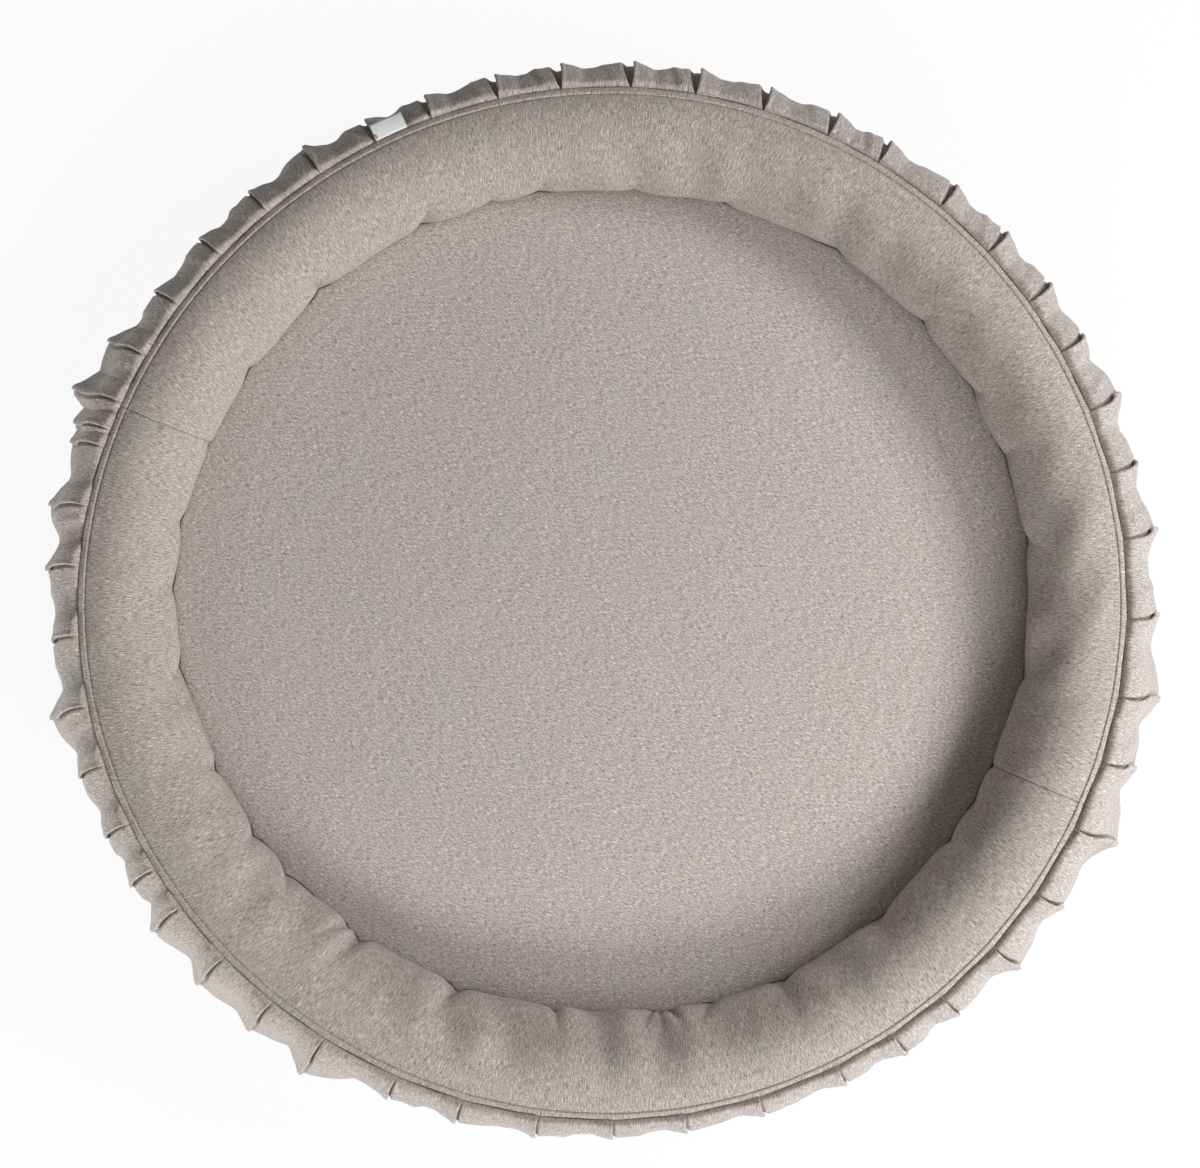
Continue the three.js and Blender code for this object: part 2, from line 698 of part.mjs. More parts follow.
function sliderGeometry() {
  const half = sliderLength / 2;
  const shield = [
    [-half, -sliderTailHalfWidth], [0, -sliderHalfWidth], [half, -sliderHalfWidth],
    [half, sliderHalfWidth], [0, sliderHalfWidth], [-half, sliderTailHalfWidth],
  ];
  const upper = upFrom(shield, chainMiddle + sliderMouth, sliderPlate);
  const lower = upFrom(shield, chainMiddle - sliderMouth - sliderPlate, sliderPlate);
  const postStart = half - sliderPostLength;
  const post = [
    [postStart, -sliderPost / 2], [half, -sliderPost / 2],
    [half, sliderPost / 2], [postStart, sliderPost / 2],
  ];
  const overlap = sliderPlate / 2;
  const tall = 2 * sliderMouth + 2 * overlap;
  let solid = toSolid(upper).add(toSolid(lower));
  solid = solid.add(toSolid(upFrom(post, chainMiddle - sliderMouth - overlap, tall)));
  const lip = sliderMouth + overlap - tapeThickness / 2 - sliderClearance;
  for (const side of [-1, 1]) {
    const outer = side * sliderTailHalfWidth;
    const inner = side * (sliderTailHalfWidth - sliderLipWidth);
    const strip = [[-half, outer], [half, outer], [half, inner], [-half, inner]];
    const topLip = upFrom(strip, chainMiddle + tapeThickness / 2 + sliderClearance, lip);
    const lowLip = upFrom(strip, chainMiddle - sliderMouth - overlap, lip);
    solid = solid.add(toSolid(topLip)).add(toSolid(lowLip));
  }
  return toGeometry(solid.add(bailSolid())).translate(parkX, 0, 0);
}

// The bail is an arch along the slider, with the pull's bar in its opening
function bailSolid() {
  const plate = chainMiddle - sliderMouth - sliderPlate;
  const outer = bailLength / 2;
  const inner = outer - bailThickness;
  const root = plate + sliderPlate / 2;
  const foot = plate - bailOpening;
  const shape = new THREE.Shape();
  shape.moveTo(-outer, root);
  shape.lineTo(-outer, foot);
  shape.lineTo(-outer + bailThickness, foot - bailThickness);
  shape.lineTo(outer - bailThickness, foot - bailThickness);
  shape.lineTo(outer, foot);
  shape.lineTo(outer, root);
  shape.lineTo(inner, root);
  shape.lineTo(inner, foot);
  shape.lineTo(-inner, foot);
  shape.lineTo(-inner, root);
  const geometry = new THREE.ExtrudeGeometry(shape, { depth: bailWidth, bevelEnabled: false });
  geometry.translate(0, 0, -bailWidth / 2);
  return toSolid(geometry.rotateX(Math.PI / 2));
}

// Pull: a tapered tab with a window, whose end bar runs through the bail. It lies back along the
// closed chain.
function pullGeometry() {
  const bar = pullBar / 2;
  const windowEnd = bar + pullWindow;
  const windowHalf = pullNeckHalfWidth - pullSideWall;
  const shape = new THREE.Shape();
  shape.moveTo(bar, -pullNeckHalfWidth);
  shape.lineTo(windowEnd, -pullNeckHalfWidth);
  shape.lineTo(pullLength - pullEndHalfWidth, -pullEndHalfWidth);
  shape.absarc(pullLength - pullEndHalfWidth, 0, pullEndHalfWidth, -Math.PI / 2, Math.PI / 2);
  shape.lineTo(windowEnd, pullNeckHalfWidth);
  shape.lineTo(bar, pullNeckHalfWidth);
  shape.absarc(0, pullNeckHalfWidth, bar, 0, Math.PI);
  shape.lineTo(-bar, -pullNeckHalfWidth);
  shape.absarc(0, -pullNeckHalfWidth, bar, Math.PI, 2 * Math.PI);
  const window = new THREE.Path();
  window.moveTo(bar, -windowHalf);
  window.lineTo(bar, windowHalf);
  window.lineTo(windowEnd, windowHalf);
  window.lineTo(windowEnd, -windowHalf);
  shape.holes.push(window);
  const flat = { depth: pullThickness, bevelEnabled: false, curveSegments: 5 };
  const geometry = new THREE.ExtrudeGeometry(shape, flat).rotateZ(Math.PI);
  return geometry.translate(parkX, 0, bailBarZ - pullThickness / 2);
}

// Materials
const fabric = { color: 0xaaa39c, roughness: 0.95, metalness: 0 };
const lining = { color: 0xc9c4bd, roughness: 0.95, metalness: 0 };
const filling = { color: 0xe8e6e0, roughness: 1, metalness: 0 };
const plastic = { color: 0xa39c94, roughness: 0.5, metalness: 0 };
const metal = { color: 0xb8b6b2, roughness: 0.35, metalness: 1 };
const blank = { color: 0xf2f2f0, roughness: 0.8, metalness: 0 };

const nest = new THREE.Group();

function addPiece(name, geometry, look) {
  geometry.computeVertexNormals();
  const mesh = new THREE.Mesh(geometry, new THREE.MeshStandardMaterial(look));
  mesh.name = name;
  nest.add(mesh);
}

const [firstSeam, secondSeam] = crossSeamsDeg;
addPiece("floor_panel", floorGeometry(), fabric);
addPiece("mattress_core", foamGeometry(), filling);
addPiece("rim_panel_lower", ringGeometry(rimSection, firstSeam, secondSeam), fabric);
addPiece("rim_panel_upper", ringGeometry(rimSection, secondSeam, firstSeam), fabric);
addPiece("outer_wall_lower", ringGeometry(wallSection, firstSeam, secondSeam), lining);
addPiece("outer_wall_upper", ringGeometry(wallSection, secondSeam, firstSeam), lining);
addPiece("divider_band", ringGeometry(dividerSection), lining);
addPiece("bolster_core", ringGeometry(coreSection), filling);
addPiece("base_panel_front", baseHalfGeometry(-1), lining);
addPiece("base_panel_back", baseHalfGeometry(1), lining);
stripStarts.forEach((start, k) => {
  const next = k + 1 < stripStarts.length ? stripStarts[k + 1] : stripStarts[0] + foldCount;
  addPiece(`skirt_strip_${k + 1}`, stripGeometry(start, next), fabric);
});
addPiece("label", labelGeometry(), blank);
addPiece("zip_tape_front", tapeGeometry(-1), lining);
addPiece("zip_tape_back", tapeGeometry(1), lining);
addPiece("zip_chain_front", chainGeometry(-1), plastic);
addPiece("zip_chain_back", chainGeometry(1), plastic);
addPiece("zip_stop_start", stopGeometry(-1), metal);
addPiece("zip_stop_end", stopGeometry(1), metal);
addPiece("zip_slider", sliderGeometry(), metal);
addPiece("zip_pull", pullGeometry(), metal);

export default nest;
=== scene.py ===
"""Looks of a round floor nest for infants: a stuffed ring round a flat floor, in one sewn cover
with a knife-pleated skirt.

Lengths are in millimetres until place() or metres() turns them into metres, and angles run
anticlockwise from +X, seen from above.
"""
import math

import bpy
import numpy as np
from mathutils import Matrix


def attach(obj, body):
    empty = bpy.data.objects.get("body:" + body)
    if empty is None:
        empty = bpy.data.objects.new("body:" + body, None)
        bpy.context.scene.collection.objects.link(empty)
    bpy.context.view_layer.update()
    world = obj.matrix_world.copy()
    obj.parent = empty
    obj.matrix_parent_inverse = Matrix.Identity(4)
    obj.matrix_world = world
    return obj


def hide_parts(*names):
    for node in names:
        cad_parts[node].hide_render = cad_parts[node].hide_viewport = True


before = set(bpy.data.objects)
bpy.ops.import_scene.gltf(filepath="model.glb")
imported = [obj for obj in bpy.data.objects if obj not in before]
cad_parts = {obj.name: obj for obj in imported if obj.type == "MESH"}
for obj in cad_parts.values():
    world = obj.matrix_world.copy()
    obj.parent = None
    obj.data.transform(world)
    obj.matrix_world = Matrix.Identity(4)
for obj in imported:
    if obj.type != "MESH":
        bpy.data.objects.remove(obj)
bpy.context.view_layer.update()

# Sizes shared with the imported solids
GAP = 0.3
OVAL_RISE = 5.0
BOLSTER_RADIUS = 492.5
BOLSTER_HALF_WIDTH = 60.0
BOLSTER_HALF_HEIGHT = 61.0
INNER_FOOT_POWER = 4.0
OUTER_FOOT_POWER = 2.7
RIM_THICKNESS = 3.0
WALL_THICKNESS = 1.6
WALL_FOOT_DEG = 150.0
DIVIDER_THICKNESS = 1.4
BASE_THICKNESS = 1.6
BASE_RADIUS = 522.0
FLOOR_THICKNESS = 2.0
FLOOR_CROWN = 3.0
FOAM_THICKNESS = 30.0
CLOTH_THICKNESS = 1.2
CLOTH_CLEARANCE = 0.4
FLANGE_EDGE_DEG = 25.8
FLANGE_WIDTH = 7.3
ZIP_LENGTH = 780.0
VALLEY_DEPTH = 6.5
VALLEY_HALF_WIDTH = 36.0
VALLEY_FADE = 28.0
SLOT_HALF_WIDTH = 8.0
TAPE_OVERLAP = 8.0
TAPE_HALF_WIDTH = 20.0
TAPE_THICKNESS = 0.7
CHAIN_SPLIT = 1.2
CHAIN_WIDTH = 2.3
CHAIN_HEIGHT = 2.4

# Derived heights and places
FOAM_BOTTOM = BASE_THICKNESS + GAP
FOAM_TOP = FOAM_BOTTOM + FOAM_THICKNESS
FLOOR_BOTTOM = FOAM_TOP + GAP
FLOOR_EDGE_TOP = FLOOR_BOTTOM + FLOOR_THICKNESS
DEGREES_PER_LENGTH = math.degrees(1 / BOLSTER_HALF_WIDTH)
STITCH_DEG = FLANGE_EDGE_DEG - FLANGE_WIDTH * DEGREES_PER_LENGTH
TUCK_DEG = FLANGE_EDGE_DEG - 5 * DEGREES_PER_LENGTH
LAYER_STEP = CLOTH_THICKNESS + CLOTH_CLEARANCE
SKIRT_MIDDLE_INSET = 2 * GAP + 2.5 * CLOTH_THICKNESS + 2 * CLOTH_CLEARANCE
WALL_INSET = 2 * GAP + 3 * CLOTH_THICKNESS + 2 * CLOTH_CLEARANCE + GAP

# Folds of the skirt, in degrees round the ring
FOLDS_DEG = (
    6.9, 14.3, 21.5, 28.7, 35.2, 42.3, 49.6, 58, 64.3, 72, 79.7, 86.9, 94.7, 101.8, 109.6, 116.4,
    123.5, 130.8, 137.9, 145.1, 151.8, 157.6, 160.8, 162.8, 169.5, 176.1, 183.7, 191.4, 198.1, 205,
    210.7, 215.8, 223.1, 230.3, 237.3, 246.4, 254.1, 262.7, 271, 279, 287.4, 296.7, 303.8, 310.6,
    318.4, 326, 334.3, 342.1, 349.5, 358.1,
)
STRIP_STARTS = (10, 22, 35, 47)
LABEL_MIDDLE_DEG = 114.35
CROSS_SEAMS_DEG = (158.0, 337.1)
HALF_RINGS = (CROSS_SEAMS_DEG, (CROSS_SEAMS_DEG[1], CROSS_SEAMS_DEG[0] + 360))

# Creases of the rim: angle, depth, half width in degrees
CREASES = (
    (8, 3, 2.2), (20.1, 3, 2.2), (29.5, 3.5, 2), (41.3, 3.5, 2.2), (57.3, 3.5, 2.4),
    (72.8, 3, 2.4), (85.6, 2, 2), (98.6, 3, 2), (105.8, 2.5, 2), (115.2, 4.5, 1.6),
    (132.4, 5, 1.8), (147.3, 3.5, 2), (158, 1.5, 1), (169.1, 3, 2), (177.7, 3, 2),
    (189.2, 3.5, 2), (202.9, 4, 1.8), (213.8, 5.5, 1.8), (221.3, 5.5, 1.6), (231.4, 5.5, 0.6),
    (233.9, 8, 1.1), (248.8, 7, 1.3), (263.2, 3.5, 0.9), (276.4, 2, 0.5), (277.8, 2.5, 0.5),
    (279.4, 4, 0.7), (284.5, 2.5, 1.2), (295.2, 3.5, 1.8), (311, 3.5, 2.2), (325.6, 3, 2),
    (330.8, 2.5, 2), (337.1, 1.5, 1), (350.3, 3, 2.2),
)


# The bolster's section and the ring's outline

def tube(angle_deg, inset):
    """Distance from the middle and height of the bolster's outline, in section: the angle runs
    outward from the top, and inset moves the outline towards the middle of the tube."""
    angle = np.radians(angle_deg)
    across, up = np.sin(angle), np.cos(angle)
    power = 2 / np.where(across < 0, INNER_FOOT_POWER, OUTER_FOOT_POWER)
    low_across = np.sign(across) * np.abs(across) ** power
    low_up = -(np.abs(up) ** power)
    rho = BOLSTER_RADIUS + (BOLSTER_HALF_WIDTH - inset) * np.where(up < 0, low_across, across)
    z = BOLSTER_HALF_HEIGHT + (BOLSTER_HALF_HEIGHT - inset) * np.where(up < 0, low_up, up)
    return rho, z


# The angle on the inner side where the outline is as low as the floor's edge
FOOT_DROP = (BOLSTER_HALF_HEIGHT - FLOOR_EDGE_TOP) / BOLSTER_HALF_HEIGHT
RIM_FOOT_DEG = -90 - math.degrees(math.asin(FOOT_DROP ** (INNER_FOOT_POWER / 2)))
FOOT_RADIUS = float(tube(RIM_FOOT_DEG, 0)[0])
DIVIDER_RADIUS = FOOT_RADIUS + GAP


def smooth_step(value, low, high):
    share = np.clip((value - low) / (high - low), 0, 1)
    return share * share * (3 - 2 * share)


def plateau(value, low, full, fading, gone):
    """None below low and over gone, and one between full and fading."""
    return smooth_step(value, low, full) * (1 - smooth_step(value, fading, gone))


def waves(theta, terms):
    """A sum of waves round the ring: number of lobes, height and the angle of a lobe."""
    return sum(rise * np.cos(lobes * (theta - math.radians(deg))) for lobes, rise, deg in terms)


def angle_gap(theta, deg):
    """Distance round the ring from an angle, in degrees."""
    return (np.degrees(theta) - deg + 180) % 360 - 180


def humps(theta, listed):
    """A sum of smooth humps round the ring: angle, half width in degrees and height."""
    return sum(rise * np.exp(-((angle_gap(theta, deg) / width) ** 2))
               for deg, width, rise in listed)


# Where the stuffed ring departs from an even oval, at its inner and outer edge
INNER_WAVES = ((1, 2.0, 77), (2, 2.2, -9), (3, 2.2, 47), (4, 1.0, 8), (6, 1.3, -3))
OUTER_WAVES = ((1, 1.7, -87), (2, 1.4, 70), (3, 1.5, -59), (4, 1.2, 0))
# Length over which the outer waves take over from the inner ones, outward from the foot
OUTER_BLEND = 90
# Humps: where the bolster's outer side bulges less past the seam, and where the hem swings
FLAT_SIDES = ((280, 30, 0.32), (92, 26, 0.1), (112, 8, 0.06), (62, 14, 0.1))
HEM_SWINGS = ((158, 9, 16), (172, 6, 3), (194, 5, 7), (229, 11, 16), (340, 20, 11), (352, 6, 3),
              (24, 7, 5))
SEAM_RADIUS = float(tube(FLANGE_EDGE_DEG, 0)[0])


def outer_share(rho):
    """How far a place belongs to the ring's outer edge."""
    return smooth_step(rho, FOOT_RADIUS, FOOT_RADIUS + OUTER_BLEND)


def place(rho, z, theta):
    """Points in metres, on the ring's own outline instead of an even circle."""
    past = np.maximum(rho - SEAM_RADIUS, 0)
    rho = rho - past * humps(theta, FLAT_SIDES)
    outer = outer_share(rho)
    inner = smooth_step(rho, 0, FOOT_RADIUS) * (1 - outer)
    sway = inner * waves(theta, INNER_WAVES) + outer * waves(theta, OUTER_WAVES)
    radius = rho + OVAL_RISE * np.cos(2 * theta) + sway
    x, y, z = np.broadcast_arrays(radius * np.cos(theta), radius * np.sin(theta), z)
    return np.stack([x, y, z], axis=-1) / 1000


def metres(points):
    return np.asarray(points, float) / 1000


def ripple(seed, lobes_low, lobes_high, count, lean=0.0):
    """A smooth random function of the angle round the ring and of a place along the section,
    whose waves lean by so many radians for each unit of that place."""
    rng = np.random.default_rng(seed)
    lobes = rng.integers(lobes_low, lobes_high, count)
    phases = rng.uniform(0, math.tau, count)
    slants = rng.normal(0, 0.35, count) / 10 - lean * lobes

    def at(theta, along):
        total = 0
        for lobe, phase, slant in zip(lobes, phases, slants):
            total = total + np.cos(lobe * theta + phase + slant * along)
        return total / math.sqrt(count)

    return at


# Mesh building

def link(name, data):
    """A new object in the scene."""
    made = bpy.data.objects.new(name, data)
    bpy.context.scene.collection.objects.link(made)
    return made


def outward(points, faces):
    """Whether four-sided faces look out of the body that they enclose."""
    a, b, c, d = (points[faces[:, k]] for k in range(4))
    volume = np.einsum("ij,ij->", a, np.cross(b, c)) + np.einsum("ij,ij->", a, np.cross(c, d))
    return volume >= 0


def add_object(name, points, faces, material, uvs=None):
    """A smooth mesh. Its grain's places are given for each corner, or else seen from above."""
    if uvs is None:
        uvs = [points[index, :2] for face in faces for index in face]
    mesh = bpy.data.meshes.new(name)
    mesh.from_pydata(points.tolist(), [], faces)
    layer = mesh.uv_layers.new(name="grain")
    layer.data.foreach_set("uv", np.asarray(uvs, np.float32).ravel())
    mesh.polygons.foreach_set("use_smooth", [True] * len(mesh.polygons))
    mesh.materials.append(material)
    mesh.validate()
    mesh.update()
    return link(name, mesh)


def loft(name, loops, along, round_loop, material, closed=False, ladder=False):
    """A skin over closed loops of points: loops is (sections, points, 3). along holds the
    grain's place at each section and round_loop at each point, with one more for the return."""
    count, size = loops.shape[:2]
    points = loops.reshape(-1, 3)
    j = np.arange(count if closed else count - 1)[:, None]
    k = np.arange(size)
    corners = ((0, 0), (0, 1), (1, 1), (1, 0))
    quads = np.stack([(j + a) % count * size + (k + b) % size for a, b in corners], -1)
    uvs = np.stack([np.stack(np.broadcast_arrays(along[j + a], round_loop[k + b]), -1)
                    for a, b in corners], 2)
    quads, uvs = quads.reshape(-1, 4), uvs.reshape(-1, 4, 2)
    facing = -1 if outward(points, quads) else 1
    if facing == 1:
        quads, uvs = quads[:, ::-1], uvs[:, ::-1]
    faces, uvs = quads.tolist(), uvs.reshape(-1, 2).tolist()
    if not closed:
        for start, turn in ((0, facing), ((count - 1) * size, -facing)):
            for cap in cap_faces(size, ladder):
                faces.append([start + index for index in cap[::-turn]])
                at = along[0] if start == 0 else along[-1]
                uvs += [[at, round_loop[index]] for index in cap]
    return add_object(name, points, faces, material, uvs)


def cap_faces(size, ladder):
    """The end of a loft: one flat face, or rungs from each point to its opposite."""
    if not ladder:
        return [list(range(size))]
    return [[k, k + 1, size - 2 - k, size - 1 - k] for k in range(size // 2 - 1)]


def unit(vectors):
    return vectors / np.linalg.norm(vectors, axis=-1, keepdims=True)


def lengths(points, closed=False):
    """Distance along a line of points, from its start."""
    if closed:
        points = np.concatenate([points, points[:1]])
    steps = np.linalg.norm(np.diff(points, axis=0), axis=1)
    return np.concatenate([[0], np.cumsum(steps)])


def cloth(name, grid, thickness, material, closed=False):
    """A cloth of even thickness about a grid of points: (columns, rows, 3), in metres."""
    if closed:
        ring = np.concatenate([grid[-1:], grid, grid[:1]])
        across = (ring[2:] - ring[:-2]) / 2
    else:
        across = np.gradient(grid, axis=0)
    half = unit(np.cross(across, np.gradient(grid, axis=1))) * thickness / 2000
    loops = np.concatenate([grid + half, (grid - half)[:, ::-1]], axis=1)
    middle = grid[:, grid.shape[1] // 2]
    along = lengths(middle, closed)
    down = lengths(grid[len(grid) // 2])
    round_loop = np.concatenate([down, down[::-1], down[:1]])
    return loft(name, loops, along, round_loop, material, closed, ladder=True)


def revolved(name, profile, theta, material, relief, edge_reach=0.0):
    """A round body from its half section, which runs from axis to axis. relief gives how far
    each point rises, from its place, and edge_reach how far the edge stands out at each angle."""
    rho = profile[1:-1, 0] + 0 * theta[:, None]
    stretched = smooth_step(rho, FOOT_RADIUS * 0.8, FOOT_RADIUS - 4)
    rho = rho + np.reshape(edge_reach, (-1, 1)) * stretched
    rows = place(rho, profile[1:-1, 1], theta[:, None])
    count, size = rows.shape[:2]
    ends = metres([(0, 0, height) for height in profile[[0, -1], 1]])
    points = np.concatenate([rows.reshape(-1, 3), ends])
    points[:, 2] += relief(*(points * 1000).T) / 1000
    top, bottom = len(points) - 2, len(points) - 1
    faces = []
    for j in range(count):
        near, far = j * size, (j + 1) % count * size
        faces.append([top, near, far])
        faces += [[near + k, near + k + 1, far + k + 1, far + k] for k in range(size - 1)]
        faces.append([bottom, far + size - 1, near + size - 1])
    return add_object(name, points, faces, material)


# Materials

def set_inputs(node, values):
    for name, value in values.items():
        node.inputs[name].default_value = value
    return node


def arithmetic(tree, operation, first, second):
    """What a Math node makes of two sockets or numbers."""
    made = tree.nodes.new("ShaderNodeMath")
    made.operation = operation
    for value, target in zip((first, second), made.inputs):
        if isinstance(value, (int, float)):
            target.default_value = value
        else:
            tree.links.new(value, target)
    return made.outputs["Value"]


class Shade:
    """A node material on Blender's principled shader, built step by step."""

    def __init__(self, name, roughness=0.9, metallic=0.0, sheen=0.0, specular=0.3):
        self.material = bpy.data.materials.new(name)
        self.material.use_nodes = True
        self.tree = self.material.node_tree
        self.link = self.tree.links.new
        self.shader = set_inputs(self.tree.nodes["Principled BSDF"], {
            "Roughness": roughness, "Metallic": metallic, "Specular IOR Level": specular,
            "Sheen Weight": sheen, "Sheen Roughness": 0.6,
        })

    def node(self, kind, **settings):
        made = self.tree.nodes.new("ShaderNode" + kind)
        for key, value in settings.items():
            setattr(made, key, value)
        return made

    def coordinate(self, size, turn=0.0):
        """Places in units of size, in metres: on the cloth, if it is given as (across, along),
        or else on the three axes."""
        if len(size) == 2:
            origin = self.node("UVMap", uv_map="grain").outputs["UV"]
            size = (*size, size[0])
        else:
            origin = self.node("TexCoord").outputs["Object"]
        mapping = set_inputs(self.node("Mapping", vector_type="TEXTURE"),
                             {"Rotation": (0, 0, turn), "Scale": size})
        self.link(origin, mapping.inputs["Vector"])
        return mapping.outputs["Vector"]

    def noise(self, size, detail, roughness=0.55, distortion=0.0, turn=0.0):
        vector = self.coordinate(size, turn)
        made = set_inputs(self.node("TexNoise"), {
            "Scale": 1, "Detail": detail, "Roughness": roughness, "Distortion": distortion,
        })
        self.link(vector, made.inputs["Vector"])
        return made.outputs["Fac"]

    def bands(self, axis, size, **settings):
        """Stripes across an axis, about size apart."""
        made = self.node("TexWave", wave_type="BANDS", bands_direction=axis)
        set_inputs(made, {"Scale": 0.3, **settings})
        self.link(self.coordinate((size, size)), made.inputs["Vector"])
        return made.outputs["Fac"]

    def math(self, operation, first, second):
        return arithmetic(self.tree, operation, first, second)

    def ramp(self, value, colour, stops):
        """A shade of a colour for each value: each stop has its place, and a factor or three."""
        made = self.node("ValToRGB")
        elements = made.color_ramp.elements
        while len(elements) < len(stops):
            elements.new(0.5)
        for element, (where, factor) in zip(elements, stops):
            element.position = where
            element.color = (*np.multiply(colour, factor), 1)
        self.link(value, made.inputs["Fac"])
        return made.outputs["Color"]

    def multiply(self, first, second):
        """The product of two colours."""
        made = self.node("Mix", data_type="RGBA", blend_type="MULTIPLY")
        factor, *colours = (socket for socket in made.inputs if socket.enabled)
        factor.default_value = 1
        for value, target in zip((first, second), colours):
            self.link(value, target)
        return next(socket for socket in made.outputs if socket.enabled)

    def finish(self, colour, height, distance):
        """The material, with its colour, and a bump as deep as distance where height is 1."""
        self.link(colour, self.shader.inputs["Base Color"])
        made = set_inputs(self.node("Bump"), {"Distance": distance, "Strength": 1})
        self.link(height, made.inputs["Height"])
        self.link(made.outputs["Normal"], self.shader.inputs["Normal"])
        return self.material


def linear(red, green, blue):
    """A colour in linear light from its 0 to 255 display values."""
    return tuple(((v / 255 + 0.055) / 1.055) ** 2.4 for v in (red, green, blue))


# Widths of the jersey's fibres, hairs and specks, and the specks' length, in metres
FIBRE_WIDTH, HAIR_WIDTH, SPECK_WIDTH, SPECK_LENGTH = 0.0010, 0.0009, 0.0012, 0.0018


def melange(name, colour, turn=0.0, fibre=0.0065):
    """Brushed melange jersey: short light and dark fibres laid one way, over slow drifts of
    hue, with a nap that catches the light at grazing angles."""
    made = Shade(name, roughness=0.92, sheen=0.12, specular=0.15)
    fibres = made.noise((FIBRE_WIDTH, fibre), 3, 0.65, 0.2, turn)
    hairs = made.noise((HAIR_WIDTH, fibre * 2), 1, 0.5, 0.4, turn + 0.12)
    specks = made.noise((SPECK_WIDTH, SPECK_LENGTH), 2, 0.7, turn=turn)
    mixed = made.math("ADD", made.math("MULTIPLY", fibres, 0.45),
                      made.math("ADD", made.math("MULTIPLY", hairs, 0.2),
                                made.math("MULTIPLY", specks, 0.35)))
    tone = made.ramp(mixed, colour, ((0.36, 0.24), (0.45, 0.74), (0.53, 1.09), (0.63, 1.85)))
    drift = made.noise((0.055, 0.055, 0.055), 2, 0.5)
    hue = made.ramp(drift, 1, ((0.35, (0.98, 1.0, 0.99)), (0.65, (1.02, 0.996, 1.0))))
    return made.finish(made.multiply(tone, hue), mixed, 0.001)


def woven(name, colour, thread, contrast=0.12):
    """A plain weave of threads over and under each other."""
    made = Shade(name, roughness=0.85, sheen=0.08, specular=0.2)
    weave = made.math("MULTIPLY", *(made.bands(axis, thread, Distortion=0.6, Detail=1)
                                    for axis in "XY"))
    slub = made.noise((0.0025, 0.018), 2)
    tone = made.math("ADD", made.math("MULTIPLY", weave, 0.55), made.math("MULTIPLY", slub, 0.45))
    colours = made.ramp(tone, colour, ((0.1, 1 - contrast * 1.5), (0.75, 1 + contrast)))
    return made.finish(colours, weave, 0.0004)


def satin(name, colour):
    """Blank satin tape: fine ribs across it and a soft shine."""
    made = Shade(name, roughness=0.5, sheen=0.1, specular=0.45)
    ribs = made.bands("X", 0.0005)
    colours = made.ramp(ribs, colour, ((0.2, 0.94), (0.8, 1)))
    return made.finish(colours, ribs, 0.00008)


def uneven(name, colour, size, stops, depth, rough=(3, 0.55), **finish):
    """Wadding, foam, plastic or metal: fine specks or brush lines, whose size is given on each
    axis, in the shades of the colour that stops say."""
    made = Shade(name, **finish)
    lumps = made.noise(size, *rough)
    return made.finish(made.ramp(lumps, colour, stops), lumps, depth)


def fibre_fill(name, colour, size):
    return uneven(name, colour, (size, size, size), ((0.3, 0.82), (0.65, 1)), size / 3, (4, 0.6),
                  roughness=1.0, sheen=0.1, specular=0.1)


COVER = linear(175, 166, 160)
# The floor is the same jersey as the cover, painted lighter than it: painted light for the brighter
# light on the floor
FLOOR_COLOUR_PAINTED_LIGHTER = linear(186, 177, 173)
rim_cloth = melange("rim_jersey", COVER)
skirt_cloth = melange("skirt_jersey", COVER)
floor_cloth_painted_lighter = melange("floor_jersey_painted_lighter", FLOOR_COLOUR_PAINTED_LIGHTER, turn=math.radians(63), fibre=0.0045)
# The thread is painted darker than the cover: painted shade for the groove and the stitch holes it
# lies in
thread_painted_dark_look = melange("thread", np.multiply(COVER, 0.62))
lining = woven("lining_cotton", linear(190, 184, 177), 0.0006)
tape_look = woven("zip_tape_weave", linear(158, 150, 142), 0.0005, 0.18)
wadding = fibre_fill("wadding", linear(232, 230, 224), 0.004)
foam_look = fibre_fill("foam", linear(228, 222, 205), 0.0016)
label_look = satin("label_satin", linear(248, 249, 250))
coil_look = uneven("zip_coil_nylon", linear(140, 132, 124), (0.003, 0.003, 0.003),
                   ((0.3, 0.85), (0.7, 1.1)), 0.0001, roughness=0.45, specular=0.45)
metal_look = uneven("zip_nickel", (0.62, 0.61, 0.59), (0.004, 0.0002, 0.0002),
                    ((0.3, 0.85), (0.7, 1.08)), 0.00003, roughness=0.34, metallic=1.0, specular=0.5)


# Rim panels: the padded top and inner side of the bolster, ending in the flange

RIM_FACE_ROWS = 58
CREASE_BULGE = 3.0
CREASE_GAIN = 2.1
FOOT_SHARE = 0.55
FOOT_TUCK = 3.5
BELLY = 2.2
# Turn of a crease, in degrees round the ring for each degree along the section
CREASE_LEANS = (0.03, -0.02, 0.05, 0.0, -0.04, 0.06, 0.02)
# Where a crease is deepest, in section
CREASE_DEG = -84
# Humps: where the face folds most, and where its folds lean
BUSY_SIDES = ((249, 42, 0.9), (60, 30, 0.3))
SLANT_SIDE = ((2, 30, 0.9),)
FOLD_KINK = 1.6
face_folds = ripple(11, 18, 60, 14)
face_lumps = ripple(12, 6, 26, 10)
fine_lumps = ripple(13, 60, 130, 16)
side_folds = ripple(14, 18, 38, 7, lean=0.003)


